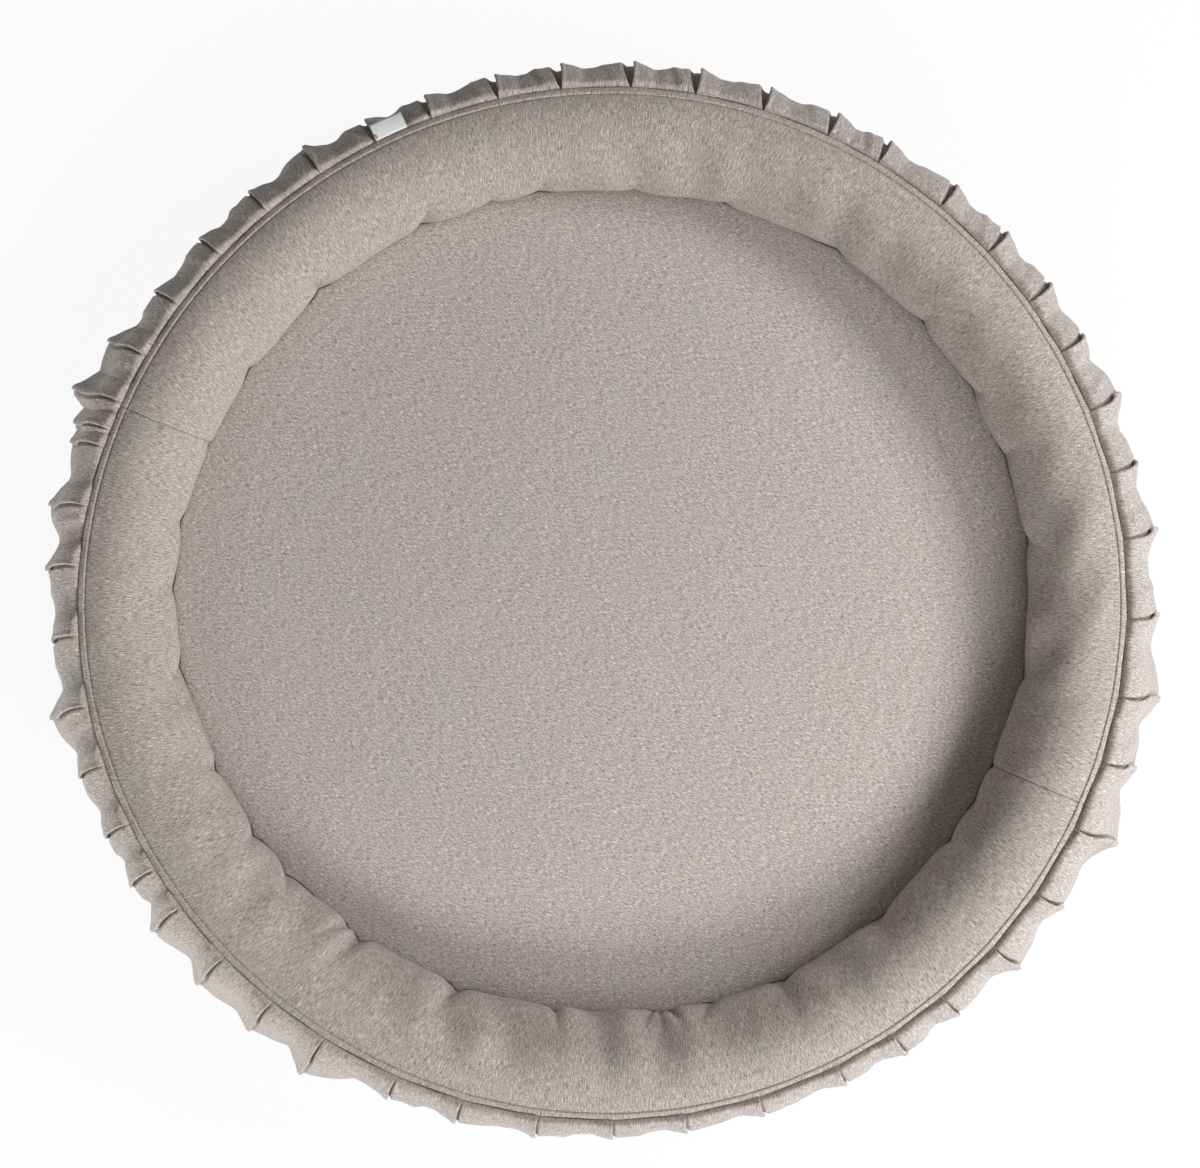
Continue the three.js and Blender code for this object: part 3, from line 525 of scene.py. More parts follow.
def rim_inset(theta, angle):
    """How far the stuffed face lies inside the even section, round the ring and along it."""
    theta = theta[:, None]
    notch = 0
    for number, (deg, depth, half_width) in enumerate(CREASES):
        lean = CREASE_LEANS[number % len(CREASE_LEANS)] * (angle - CREASE_DEG)
        away = np.abs(angle_gap(theta, deg) + lean) / half_width
        reach = smooth_step(angle, -52 + 3.4 * depth, CREASE_DEG)
        cut = reach * smooth_step(angle, -60, CREASE_DEG - 2)
        notch = notch + depth * CREASE_GAIN * (0.6 * reach * np.exp(-(away ** 1.3))
                                               + 0.4 * cut * np.exp(-2.6 * away))
    foot = smooth_step(angle, RIM_FOOT_DEG, -92)
    bulge = CREASE_BULGE * smooth_step(angle, -40, CREASE_DEG)
    crease = (notch - bulge) * (FOOT_SHARE + (1 - FOOT_SHARE) * foot)
    near_seam = smooth_step(angle, 17, 0)
    busy = 2.0 * (0.35 + humps(theta, BUSY_SIDES)) * face_folds(theta, angle)
    folds = busy * smooth_step(angle, 12, -34) * smooth_step(angle, RIM_FOOT_DEG, -80)
    slanting = humps(theta, SLANT_SIDE) * side_folds(theta, angle)
    folds = folds + (slanting * smooth_step(angle, 17, -10)
                     * smooth_step(angle, RIM_FOOT_DEG, CREASE_DEG))
    lumps = 0.7 * face_lumps(theta, angle) + 0.18 * fine_lumps(theta, angle * 1.5)
    tuck = FOOT_TUCK * smooth_step(angle, -86, RIM_FOOT_DEG)
    roundness = -BELLY * np.exp(-(((angle + 80) / 14) ** 2))
    return crease + folds + lumps * near_seam * foot + tuck + roundness


def rim_face(theta, angles, extra):
    """The rim's face, or a surface under it, with its foot kept at the floor's height."""
    inset = rim_inset(theta, angles)
    rho, z = tube(angles, inset + extra)
    foot = smooth_step(angles, -92, RIM_FOOT_DEG)
    return rho, z - foot * FOOT_DROP * np.maximum(inset, 0)


def seam_groove(theta):
    """The rim dips where its two half rings are sewn together."""
    total = 0
    for deg in CROSS_SEAMS_DEG:
        away = np.abs(angle_gap(theta, deg)) * math.radians(1) * BOLSTER_RADIUS
        total = total + 1.5 * np.exp(-away / 0.9) + 0.5 * np.exp(-away / 6)
    return total[:, None]


def fold_shares(theta):
    """Where a point lies between two folds of the skirt: 0 at one and 1 at the next."""
    folds = np.radians(np.array([*FOLDS_DEG, FOLDS_DEG[0] + 360]))
    turn = theta % math.tau
    turn = np.where(turn < folds[0], turn + math.tau, turn)
    index = np.clip(np.searchsorted(folds, turn, side="right") - 1, 0, len(FOLDS_DEG) - 1)
    return (turn - folds[index]) / (folds[index + 1] - folds[index])


def slack(theta):
    """Where the flange gives way between folds: strongly on the right and below."""
    return 0.35 + 0.65 * smooth_step(np.cos(theta + math.radians(35)), -0.2, 0.6)


def flange_kink(theta):
    """The flange is drawn in between the skirt's folds and stands out at each of them."""
    share = fold_shares(theta)
    return -FOLD_KINK * slack(theta) * (1 - np.abs(2 * share - 1) ** 1.5)


# Flange profile: distance along it from the stitch line, and rise over the bolster's outline.
# Its first points face up, and the rest are its edge and underside.
FLANGE_TOP_POINTS = 13
FLANGE_FACE = (
    (-1.7, -0.05), (-0.9, -0.1), (-0.45, -0.45), (0, -0.75), (0.35, -0.4), (0.65, 0.3),
    (1.05, 0.95), (1.9, 1.3), (3.5, 1.42), (5.3, 1.45), (6.6, 1.4), (7.1, 1.15), (7.35, 0.6),
    (7.35, 0.1), (7.1, -0.1), (6.2, -0.1), (4.6, -0.15), (3.0, -0.2),
)


def rim_sections(theta):
    face_angles = np.linspace(RIM_FOOT_DEG, STITCH_DEG - 2.2 * DEGREES_PER_LENGTH, RIM_FACE_ROWS)
    groove = seam_groove(theta)
    outer = rim_face(theta, face_angles, groove)
    flange = np.array(FLANGE_FACE)
    angles = STITCH_DEG + flange[:, 0] * DEGREES_PER_LENGTH
    drawn = smooth_step(flange[:, 0], -1.7, 7)
    kink = flange_kink(theta)[:, None] * drawn
    top = np.arange(len(flange)) < FLANGE_TOP_POINTS
    rho, z = tube(angles, -flange[:, 1] + 0.45 * groove * top)
    rho, z = rho + kink, z + 0 * kink
    back_angles = np.linspace(STITCH_DEG - 3 * DEGREES_PER_LENGTH, RIM_FOOT_DEG, 18)
    back = rim_face(theta, back_angles, RIM_THICKNESS)
    return (np.concatenate(parts, axis=1) for parts in zip(outer, (rho, z), back))


# Radius at which the grain's places round the ring are measured, in metres
GRAIN_RADIUS = 0.48
SEAM_GAP_DEG = math.degrees(GAP / 2 / FOOT_RADIUS)


def rim_panel(name, start_deg, end_deg):
    close = np.array([0, 0.06, 0.13, 0.22, 0.35, 0.55, 0.8])
    degrees = np.concatenate([start_deg + SEAM_GAP_DEG + close,
                              np.arange(start_deg + 1.15, end_deg - 1.15, 0.3),
                              (end_deg - SEAM_GAP_DEG - close)[::-1]])
    theta = np.radians(degrees)
    rho, z = rim_sections(theta)
    loops = place(rho, z, theta[:, None])
    round_loop = lengths(loops[len(loops) // 2], closed=True)
    return loft(name, loops, theta * GRAIN_RADIUS, round_loop, rim_cloth)


rim_lower = rim_panel("rim_lower", *HALF_RINGS[0])
rim_upper = rim_panel("rim_upper", *HALF_RINGS[1])


# Topstitching along the flange

STITCH_LENGTH = 3.6
STITCH_RADIUS = 0.32
STITCH_SIDES = 5
# Rings of a stitch: place along it, width, and height over the cloth as shares of its radius
STITCH_RINGS = np.array([(0.07, 0.25, -0.5), (0.285, 1.0, 0.25), (0.586, 1.0, 0.35),
                         (0.801, 0.25, -0.5)])


def topstitching():
    """Short threads along the flange, each pulled down into the cloth at its ends."""
    theta = np.radians(np.arange(0, 360.01, 0.2))
    rho, z = tube(np.full_like(theta, STITCH_DEG), 0.45)
    line = place(rho + flange_kink(theta) * 0.1, z, theta)
    along = lengths(line) * 1000
    count = int(along[-1] / STITCH_LENGTH)
    share, width, lift = (np.tile(column, count)[:, None, None] for column in STITCH_RINGS.T)
    number = np.repeat(np.arange(count), len(STITCH_RINGS))
    where = (number + share[:, 0, 0]) * STITCH_LENGTH
    middle = np.stack([np.interp(where, along, axis) for axis in line.T], -1)[:, None]
    cosine, sine = (np.interp(where, along, turn(theta)) for turn in (np.cos, np.sin))
    slope = math.radians(STITCH_DEG)
    upward, sideways = (
        np.stack([out * cosine, out * sine, np.full_like(where, rise)], -1)[:, None]
        for out, rise in ((math.sin(slope), math.cos(slope)), (math.cos(slope), -math.sin(slope))))
    turn = math.tau * np.arange(STITCH_SIDES)[:, None] / STITCH_SIDES
    offset = sideways * np.cos(turn) * width + upward * (np.sin(turn) * width + lift)
    points = (middle + offset * STITCH_RADIUS / 1000).reshape(-1, 3)
    size = len(STITCH_RINGS) * STITCH_SIDES
    corners = list(range(STITCH_SIDES))
    pattern = [[ring + k, ring + after, ring + after + STITCH_SIDES, ring + k + STITCH_SIDES]
               for ring in range(0, size - STITCH_SIDES, STITCH_SIDES)
               for k, after in zip(corners, corners[1:] + [0])]
    pattern += [corners[::-1], list(range(size - STITCH_SIDES, size))]
    faces = [[start + index for index in face] for start in range(0, len(points), size)
             for face in pattern]
    return add_object("topstitching", points, faces, thread_painted_dark_look)


topstitch = topstitching()


# Skirt: knife pleats from the seam over the outer side of the bolster to the floor

HEM_RADIUS = 563.0
HEM_HEIGHT = 1.4
# Rows from the seam to the hem: section angle, lift of the panels off the bolster, reach of a
# fold past them, how far the slit beside a fold sinks below them and which share of the reach
# its bottom keeps, its width as a share of its widest, and the shares of the lift that a slack
# panel and a hollow panel lose in their middle
SKIRT_ROWS = (
    (TUCK_DEG, 0, 0, 0, 0, 0, 0, 0),
    (24.8, 0, 0, 0, 0, 0, 0, 0),
    (26.2, 0, 0, 0, 0, 0.02, 0, 0),
    (26.8, 2.6, 0.1, 0.9, 0, 0.08, 1.0, 0.6),
    (27.3, 6.8, 0.4, 2.4, 0, 0.15, 0.7, 0.65),
    (27.9, 8.6, 0.8, 3.6, 0, 0.25, 0.25, 0.7),
    (29.4, 9.0, 1.2, 4.6, 0, 0.32, 0.05, 0.75),
    (35.5, 8.4, 2.2, 5.8, 0, 0.5, 0, 0.75),
    (44, 7.2, 4.0, 6.0, 0.1, 0.8, 0, 0.5),
    (57, 5.4, 6.6, 5.0, 0.2, 1.0, 0, 0),
    (74, 3.6, 9.0, 2.6, 0.6, 0.85, 0, -0.4),
    (92, 2.2, 11.5, 0.6, 0.88, 0.55, 0, 0),
)
HEM_ROW = (17.0, 0.0, 1.0, 0.3, 0, 0)
TUCK_DEPTH = 12.0
SHORT_PLEAT_SHARE = 0.3
# Rise of a fold's turned edge, at full lift
FOLD_BEAD = 1.8
FULL_LIFT = 6
SAMPLES = 4
# How far each fold of the hem stands out, as a share of the hem row's reach
HEM_REACH_SHARES = (
    1.0, 0.45, 0.85, 0.5, 0.6, 0.5, 0.75, 0.6, 0.7, 0.45, 0.6, 0.6, 0.45, 0.35, 0.3, 0.3,
    1.0, 0.6, 0.5, 0.45, 0.8, 1.1, 0.35, 0.35, 1.0, 0.85, 0.3, 1.05, 0.5, 0.45, 0.75, 1.1, 0.65,
    0.45, 1.3, 0.4, 0.9, 0.95, 0.9, 1.15, 1.2, 0.9, 1.25, 0.8, 1.1, 0.6, 1.2, 0.5, 0.85, 0.6,
)


def spline(control, samples):
    """Points of a smooth cubic curve that a list of control points draws, ends included."""
    control = np.concatenate([control[:1], control[:1], control, control[-1:], control[-1:]])
    t = np.arange(samples) / samples
    weights = np.stack([(1 - t) ** 3, 3 * t ** 3 - 6 * t ** 2 + 4,
                        -3 * t ** 3 + 3 * t ** 2 + 3 * t + 1, t ** 3]) / 6
    pieces = [weights.T @ control[k:k + 4] for k in range(len(control) - 3)]
    return np.concatenate([*pieces, control[-1:]])


def skirt_frame():
    """The skirt's panels from the seam to the hem: place, outward normal, lift and the row's
    other sizes."""
    rows = []
    for deg, lift, *sizes in SKIRT_ROWS:
        rho, z = tube(np.array(deg), SKIRT_MIDDLE_INSET - lift)
        angle = math.radians(deg)
        rows.append([rho, z, math.sin(angle), math.cos(angle), lift, *sizes])
    belt = rows[-1]
    for share in (0.5, 1):
        rho = belt[0] + (HEM_RADIUS - belt[0]) * share ** 1.3
        z = belt[1] + (HEM_HEIGHT - belt[1]) * share
        sizes = [a + (b - a) * share for a, b in zip(belt[4:], (0, *HEM_ROW))]
        rows.append([rho, z, 1, 0.12 * (1 - share), *sizes])
    fine = spline(np.array(rows, float), 12)
    run = lengths(fine[:, :2])
    wanted = np.concatenate([[0, 3], np.arange(4.8, 10, 0.55), np.linspace(10.6, 24, 8),
                             np.linspace(28, run[-1], 27)])
    sizes = [np.interp(wanted, run, column) for column in fine.T]
    return np.stack([*sizes, (wanted / run[-1]) ** 0.8], -1)


def fold_at(k):
    return math.radians(FOLDS_DEG[k % len(FOLDS_DEG)] + 360 * (k // len(FOLDS_DEG)))


def lean_at(theta, down):
    """Folds bow clockwise below the seam and hook back towards the hem, least at the ends."""
    bow = -2.0 * math.sin(math.pi * min(down / 0.5, 1))
    return bow + (2.0 + 4.5 * math.cos(2 * theta)) * smooth_step(down, 0.2, 0.75)


def reach_share(k, down):
    """Folds start alike at the seam and differ more and more towards the hem."""
    return 0.8 + (HEM_REACH_SHARES[k % len(FOLDS_DEG)] - 0.8) * smooth_step(down, 0.1, 0.9)


# Humps: where the slits beside the folds are wide, deep and open, which they are most at the far
# side, and where the panels sink in beside the seam, on the left
WIDE_SLITS = ((84, 28, 9.0), (36, 16, 3.5), (262, 30, -0.9))
DEEP_SLITS = ((84, 28, 0.8),)
OPEN_SLITS = ((84, 32, 0.98), (30, 24, 0.45), (350, 24, 0.14), (318, 18, 0.12), (186, 24, 0.2),
              (216, 14, 0.15), (150, 14, 0.08))
HOLLOW_SIDES = ((182, 26, 1.0), (210, 14, 0.4))


def pleat_line(row, down, first, last):
    """Control points of a strip in one row: (distance round the ring, height over the panels)."""
    rho, lift, reach_most, sink, kept, gape, slack_loss, hollow_loss = row[0], *row[4:11]
    step = LAYER_STEP
    bead = FOLD_BEAD * min(lift / FULL_LIFT, 1)
    line = []
    for k in range(first, last + 1):
        fold, start = fold_at(k), fold_at(k) * rho
        pitch = (fold_at(k + 1) - fold) * rho
        before = (fold - fold_at(k - 1)) * rho
        depth, next_depth = (min(TUCK_DEPTH, length * SHORT_PLEAT_SHARE)
                             for length in (before, pitch))
        reach, next_reach = (reach_most * reach_share(n, down) for n in (k, k + 1))
        lean, next_lean = (lean_at(fold_at(n), down) for n in (k, k + 1))
        slit = max(kept * reach - sink * (1 + humps(fold, DEEP_SLITS)), -lift - 0.1)
        shut = 1 - min(0.02 + humps(fold, OPEN_SLITS), 1)
        shut = shut * (1 - 0.3 * smooth_step(down, 0.1, 0.3))
        slit = slit + max(0.92 * reach - slit, 0) * shut
        hidden = min(slit, 0.3 * reach)
        lip = 0.95 * reach + min(0.5 * lift, 2.4) * max(1 - slack_loss, 0)
        wide = 0.7 + (1.5 + humps(fold, WIDE_SLITS)) * gape
        slit_end = min(wide + 1.6, 0.15 * pitch)
        lip_at = min(wide + 4.2, 0.25 * pitch)
        beside = fold + 0.06
        sag = -lift * (slack_loss * slack(beside) + hollow_loss * humps(beside, HOLLOW_SIDES))
        # The fold's edge, the layer under it back to the tuck, and the tuck's lowest layer
        edge = [
            (-1.5 + lean, reach + 2 * step + 0.6 * bead),
            (0.7 + lean, reach + 2 * step + bead),
            (0.9 + lean, reach + step),
            (-1.6 + lean * 0.95, 0.97 * reach + step + 0.3 * bead),
            (-0.5 * depth + lean * 0.75, 0.72 * reach + step),
            (-depth + lean * 0.5, hidden + step * 1.05),
            (-depth - 1.2 + lean * 0.5, hidden + step),
            (-depth - 1.2 + lean * 0.5, hidden),
            (-depth + 1.5 + lean * 0.5, hidden),
            (-0.5 * depth + lean * 0.75, 0.5 * hidden + 0.5 * slit),
            (-1.0 + lean * 0.9, slit),
        ]
        # The panel from the slit's far side to where the next fold lies over it
        rise = max(0.27 * pitch, next_depth + 9)
        panel = [
            (slit_end + lean, 0.5 * lip + 0.5 * slit),
            (0.7 * lip_at + 0.3 * slit_end + lean, 0.97 * lip),
            (lip_at + lean, lip + 0.15 * sag),
            (0.3 * pitch + lean * 0.6, 0.8 * lip + 0.8 * sag),
            (0.46 * pitch + lean * 0.35, 0.52 * lip + sag),
            (0.6 * pitch + lean * 0.2, 0.26 * lip + 0.9 * sag),
            (pitch - rise + next_lean * 0.4, 0.28 * next_reach + 0.45 * sag),
            (pitch - next_depth - 3.5 + next_lean * 0.6, 0.42 * next_reach + 1.6 * step),
            (pitch - 0.5 * next_depth + next_lean * 0.8, 0.74 * next_reach + 2 * step),
            (pitch - 3.5 + next_lean * 0.95, 0.96 * next_reach + 2 * step),
        ]
        points = [*(edge if k > first else [(0.5, slit)]), (0.5 * slit_end + lean, slit),
                  *(panel if k < last else [])]
        line += [(start + x, height) for x, height in points]
    return np.array(line)


def tension(theta, down):
    """Soft folds that fan out from the seam at each pleat, towards the next one."""
    share = fold_shares(theta)
    k = np.round(theta / math.radians(360 / len(FOLDS_DEG)))
    strength = 0.55 + 0.45 * np.sin(k * 2.399)
    past = share - (0.14 + 0.5 * down)
    ridge = np.exp(-((past / 0.07) ** 2)) - 0.7 * np.exp(-(((past - 0.13) / 0.07) ** 2))
    return 1.5 * strength * ridge * plateau(down, 0.06, 0.2, 0.6, 0.9)


def open_panel(theta):
    """One where the skirt is a single layer, and none beside the folds."""
    return plateau(fold_shares(theta), 0.1, 0.2, 0.6, 0.7)


# Hump: how far the label presses the skirt in
LABEL_PRESS = ((LABEL_MIDDLE_DEG, 3.6, 5.5),)
skirt_wrinkles = ripple(21, 40, 140, 18)


def skirt_strip(name, first, last):
    columns = []
    for row in skirt_frame():
        rho, z, out, up, lift, down = *row[:5], row[-1]
        path = spline(pleat_line(row, down, first, last), SAMPLES)
        theta = path[:, 0] / rho
        wrinkle = 0.5 * skirt_wrinkles(theta, down * 40) * smooth_step(down, 0.12, 0.5)
        swing = humps(theta, HEM_SWINGS) * smooth_step(down, 0.45, 1)
        height = path[:, 1] + wrinkle + swing + tension(theta, down) * open_panel(theta)
        pressed = humps(theta, LABEL_PRESS) * plateau(down, 0.04, 0.08, 0.25, 0.5)
        loose = 0.8 * np.maximum(height + lift - 2 * LAYER_STEP, 0)
        height = height - np.minimum(pressed, loose)
        rise = 2.5 * smooth_step(down, 0.55, 1) * smooth_step(path[:, 1], 2, 20)
        columns.append(place(rho + out * height, z + up * height + rise, theta))
    return cloth(name, np.stack(columns, axis=1), CLOTH_THICKNESS, skirt_cloth)


STRIP_ENDS = (*STRIP_STARTS[1:], STRIP_STARTS[0] + len(FOLDS_DEG))
skirt = [skirt_strip(f"skirt_{n}", *ends)
         for n, ends in enumerate(zip(STRIP_STARTS, STRIP_ENDS), 1)]


# Floor and mattress

floor_lumps = ripple(31, 2, 12, 9)


def crown(radii):
    return FLOOR_CROWN * (1 - (radii / (FOOT_RADIUS - GAP)) ** 2)


def disc_top(top, rings, rounding):
    """Half section of a crowned disc's top, from its middle to its rounded edge."""
    edge = FOOT_RADIUS - GAP
    radii = np.concatenate([[0], np.linspace(6, edge - 14, rings),
                            edge - np.array([10, 7, 4.5, 2.5, 1, 0.2])])
    drop = rounding * np.exp(-(edge - radii) / 4)
    return np.stack([radii, top + crown(radii) - drop], -1)


def floor_relief(x, y, z):
    """The floor cover sinks a little where it isn't stretched."""
    rho, theta = np.hypot(x, y), np.arctan2(y, x)
    share = plateau(rho, 20, 200, FOOT_RADIUS - 30, FOOT_RADIUS - 2)
    return -0.25 * np.abs(floor_lumps(theta, rho / 12)) * share


FLOOR_STEPS = np.radians(np.arange(0, 360, 0.5))
rim_foot = rim_inset(FLOOR_STEPS, np.array([RIM_FOOT_DEG]))[:, 0]
upper = disc_top(FLOOR_EDGE_TOP, 52, 1.2)
radii = np.append(upper[:0:-3, 0], 0)
profile = np.concatenate([upper, np.stack([radii, FLOOR_BOTTOM + crown(radii)], -1)])
floor = revolved("floor_cover", profile, FLOOR_STEPS, floor_cloth_painted_lighter, floor_relief, rim_foot)


# Mattress foam, with a channel underneath that clears the zip

CHAIN_OUTER = CHAIN_SPLIT / 2 + CHAIN_WIDTH


def valley_share(y):
    """Height of the base's valley along the zip, as a share of its depth."""
    return np.where(np.abs(y) < VALLEY_HALF_WIDTH,
                    (1 + np.cos(math.pi * y / VALLEY_HALF_WIDTH)) / 2, 0)


def tape_bottom(y):
    return VALLEY_DEPTH * valley_share(y) + BASE_THICKNESS + GAP


CHAIN_MIDDLE = float(tape_bottom(CHAIN_OUTER)) + TAPE_THICKNESS / 2
CHANNEL_RISE = 10.9


side = [(FOOT_RADIUS - GAP - 0.4, z) for z in np.linspace(FOAM_TOP - 2, FOAM_BOTTOM + 1, 8)]
radii = (FOOT_RADIUS - 1.6, *np.arange(FOOT_RADIUS - 8, 6, -6), 0)
profile = np.concatenate([disc_top(FOAM_TOP, 40, 0.8), side, [(rho, FOAM_BOTTOM) for rho in radii]])
mattress = revolved("mattress", profile, np.radians(np.arange(0, 360, 1.0)), foam_look,
                    lambda x, y, z: CHANNEL_RISE * valley_share(y) * (z < FOAM_BOTTOM + 0.5))


# Bolster filling and the linings round it

wad_lumps = ripple(41, 20, 90, 24)


def filling_piece():
    theta = np.radians(np.arange(0, 360, 0.75))
    face_angles = np.linspace(RIM_FOOT_DEG, TUCK_DEG - 4, 40)
    wall_angles = np.linspace(TUCK_DEG + 2, WALL_FOOT_DEG, 24)
    along = np.concatenate([face_angles, wall_angles])
    lumps = np.clip(0.9 + 0.8 * wad_lumps(theta[:, None], along), 0.1, 3)
    face_rise, wall_rise = np.split(lumps, [len(face_angles)], axis=1)
    under_rim = seam_groove(theta) + RIM_THICKNESS + 2 * GAP
    face = rim_face(theta, face_angles, under_rim + face_rise)
    wall = tube(wall_angles, WALL_INSET + WALL_THICKNESS + GAP + wall_rise)
    rho, z = (np.concatenate(pair, axis=1) for pair in zip(face, wall))
    inside, foot, bottom = (np.full((len(theta), 1), value) for value in (
        DIVIDER_RADIUS + DIVIDER_THICKNESS + 2 * GAP, BASE_RADIUS - WALL_THICKNESS - 3 * GAP,
        FOAM_BOTTOM))
    middle = (inside + foot) / 2
    low_edge = np.maximum(rho[:, :1], inside)
    rho = np.concatenate([inside, inside, low_edge, rho[:, 1:], foot, middle], axis=1)
    z = np.concatenate([bottom, z[:, :1] * 0.6, z, bottom, bottom], axis=1)
    loops = place(rho, z, theta[:, None])
    turns = np.append(theta, math.tau) * GRAIN_RADIUS
    return loft("filling", loops, turns, lengths(loops[0], closed=True), wadding, closed=True)


filling = filling_piece()


def outer_wall(name, start_deg, end_deg):
    """Lining behind the skirt, from under the flange to the seam with the base."""
    theta = np.radians(np.linspace(start_deg + SEAM_GAP_DEG, end_deg - SEAM_GAP_DEG, 260))
    angles = np.linspace(TUCK_DEG + 0.6, WALL_FOOT_DEG, 30)
    rho, z = tube(angles, WALL_INSET + WALL_THICKNESS / 2)
    rho = np.concatenate([rho, np.linspace(rho[-1], BASE_RADIUS - WALL_THICKNESS / 2, 5)[1:]])
    z = np.concatenate([z, np.linspace(z[-1], FOAM_BOTTOM, 5)[1:]])
    gathers = 0.18 * wall_gathers(theta[:, None], np.linspace(0, 30, len(rho)))
    share = plateau(np.linspace(0, 1, len(rho)), 0, 0.2, 0.8, 1)
    grid = place(rho + gathers * share, z, theta[:, None])
    return cloth(name, grid, WALL_THICKNESS, lining)


wall_gathers = ripple(43, 90, 220, 20)
wall_lower = outer_wall("outer_wall_lower_lining", *HALF_RINGS[0])
wall_upper = outer_wall("outer_wall_upper_lining", *HALF_RINGS[1])
band = place(DIVIDER_RADIUS + DIVIDER_THICKNESS / 2,
             np.linspace(FOAM_BOTTOM, FLOOR_BOTTOM - GAP, 10),
             np.radians(np.arange(0, 360, 1.5))[:, None])
divider = cloth("divider", band, DIVIDER_THICKNESS, lining, closed=True)


# Base panel: two halves that meet in a seam past the ends of the zip

TAPE_END = ZIP_LENGTH / 2 + TAPE_OVERLAP
# The valley runs on past the tapes, so that the pull can lie in it there
PULL_ROOM = 9.0


def base_half(name, side):
    edge = BASE_RADIUS - 0.4
    near_ends = np.arange(TAPE_END - 4, TAPE_END + 42, 1.5)
    x = np.unique(np.concatenate([edge * np.sin(np.radians(np.linspace(-88.2, 88.2, 181))),
                                  near_ends, -near_ends]))
    beside = 1 - smooth_step(np.abs(x), TAPE_END - 1.5, TAPE_END + 5)
    start = GAP / 2 + (SLOT_HALF_WIDTH - GAP / 2) * beside
    shares = np.linspace(0, 1, 37) ** 1.5
    y = start[:, None] + shares * (np.sqrt(edge ** 2 - x ** 2) - start)[:, None]
    x = x[:, None] + 0 * y
    valley_end = TAPE_END + PULL_ROOM
    fade = 1 - smooth_step(np.abs(x), valley_end, valley_end + VALLEY_FADE)
    height = VALLEY_DEPTH * valley_share(y) * fade + BASE_THICKNESS / 2
    across = x * (1 + OVAL_RISE / edge)
    up = side * y * (1 - OVAL_RISE / edge)
    rho, theta = np.hypot(x, y), np.arctan2(side * y, x)
    grow = 1 + outer_share(rho) * waves(theta, OUTER_WAVES) / np.maximum(rho, 1)
    grid = metres(np.stack([across * grow, up * grow, height], -1))
    return cloth(name, grid, BASE_THICKNESS, lining)


base_front = base_half("base_front", -1)
base_back = base_half("base_back", 1)


# Zip: woven tapes, and a nylon coil on the edge of each, whose loops mesh with the other's

COIL_PITCH = 1.5
COIL_WIRE = 0.36
COIL_HEAD = 0.12


def zip_tape(name, side):
    x = np.linspace(-TAPE_END, TAPE_END, 240)
    y = np.linspace(CHAIN_OUTER + GAP, TAPE_HALF_WIDTH, 14)
    z = tape_bottom(y) + TAPE_THICKNESS / 2
    grid = np.stack(np.broadcast_arrays(x[:, None], side * y, z), -1)
    return cloth(name, metres(grid), TAPE_THICKNESS, tape_look)


def coil(name, side, offset):
    """A flattened spiral of nylon along the edge of a tape."""
    turns = int(ZIP_LENGTH / COIL_PITCH) - 1
    steps = 12
    turn = math.tau * np.arange(turns * steps + 1) / steps
    x = -ZIP_LENGTH / 2 + COIL_PITCH * (turn / math.tau + 0.3 + offset)
    inner, outer = COIL_HEAD + COIL_WIRE, CHAIN_OUTER - COIL_WIRE
    y = (inner + outer) / 2 - (outer - inner) / 2 * np.cos(turn)
    z = CHAIN_MIDDLE + (CHAIN_HEIGHT / 2 - COIL_WIRE) * np.sin(turn)
    line = np.stack([x, side * y, z], -1)
    ahead = unit(np.gradient(line, axis=0))
    across = unit(np.cross(ahead, [1.0, 0, 0]))
    upward = np.cross(ahead, across)
    angle = math.tau * np.arange(6)[None, :, None] / 6
    ring = line[:, None] + COIL_WIRE * (np.cos(angle) * across[:, None]
                                        + np.sin(angle) * upward[:, None])
    along = lengths(metres(line))
    return loft(name, metres(ring), along, np.linspace(0, 0.002, 7), coil_look)


tape_front, tape_back = zip_tape("zip_tape_front_weave", -1), zip_tape("zip_tape_back_weave", 1)
coil_front, coil_back = coil("coil_front", -1, 0), coil("coil_back", 1, 0.5)


# Blank label in the seam

LABEL_LENGTH = 34.0
LABEL_REACH = 15.0
LABEL_THICKNESS = 0.8

middle = math.radians(LABEL_MIDDLE_DEG)
reach = np.linspace(0, 1, 12)
angles = FLANGE_EDGE_DEG + 0.3 + reach * LABEL_REACH * DEGREES_PER_LENGTH
rho, z = tube(angles, -(2.3 + 9.0 * reach))
side = np.linspace(-LABEL_LENGTH / 2, LABEL_LENGTH / 2, 26)
tangent = np.array([-math.sin(middle), math.cos(middle), 0])
grid = place(rho, z, middle) * 1000 + tangent * side[:, None, None]
grid[:, :, 2] += 0.5 * np.sin(side[:, None] * 0.16) * reach ** 2
tag = cloth("label_tag", metres(grid), LABEL_THICKNESS, label_look)


# Camera, light and ground

# Width that the camera sees at the height of the seam, in metres
FIELD_WIDTH = 1.2
CAMERA_HEIGHT = 2.2
SEAM_HEIGHT = 0.115
SENSOR = 36.0
CAMERA_AT = (-0.004, 0.018)

camera_data = bpy.data.cameras.new("camera")
camera_data.sensor_width = SENSOR
camera_data.lens = SENSOR * (CAMERA_HEIGHT - SEAM_HEIGHT) / FIELD_WIDTH
camera = link("camera", camera_data)
camera.location = (*CAMERA_AT, CAMERA_HEIGHT)
bpy.context.scene.camera = camera
bpy.context.scene.view_settings.view_transform = "Standard"

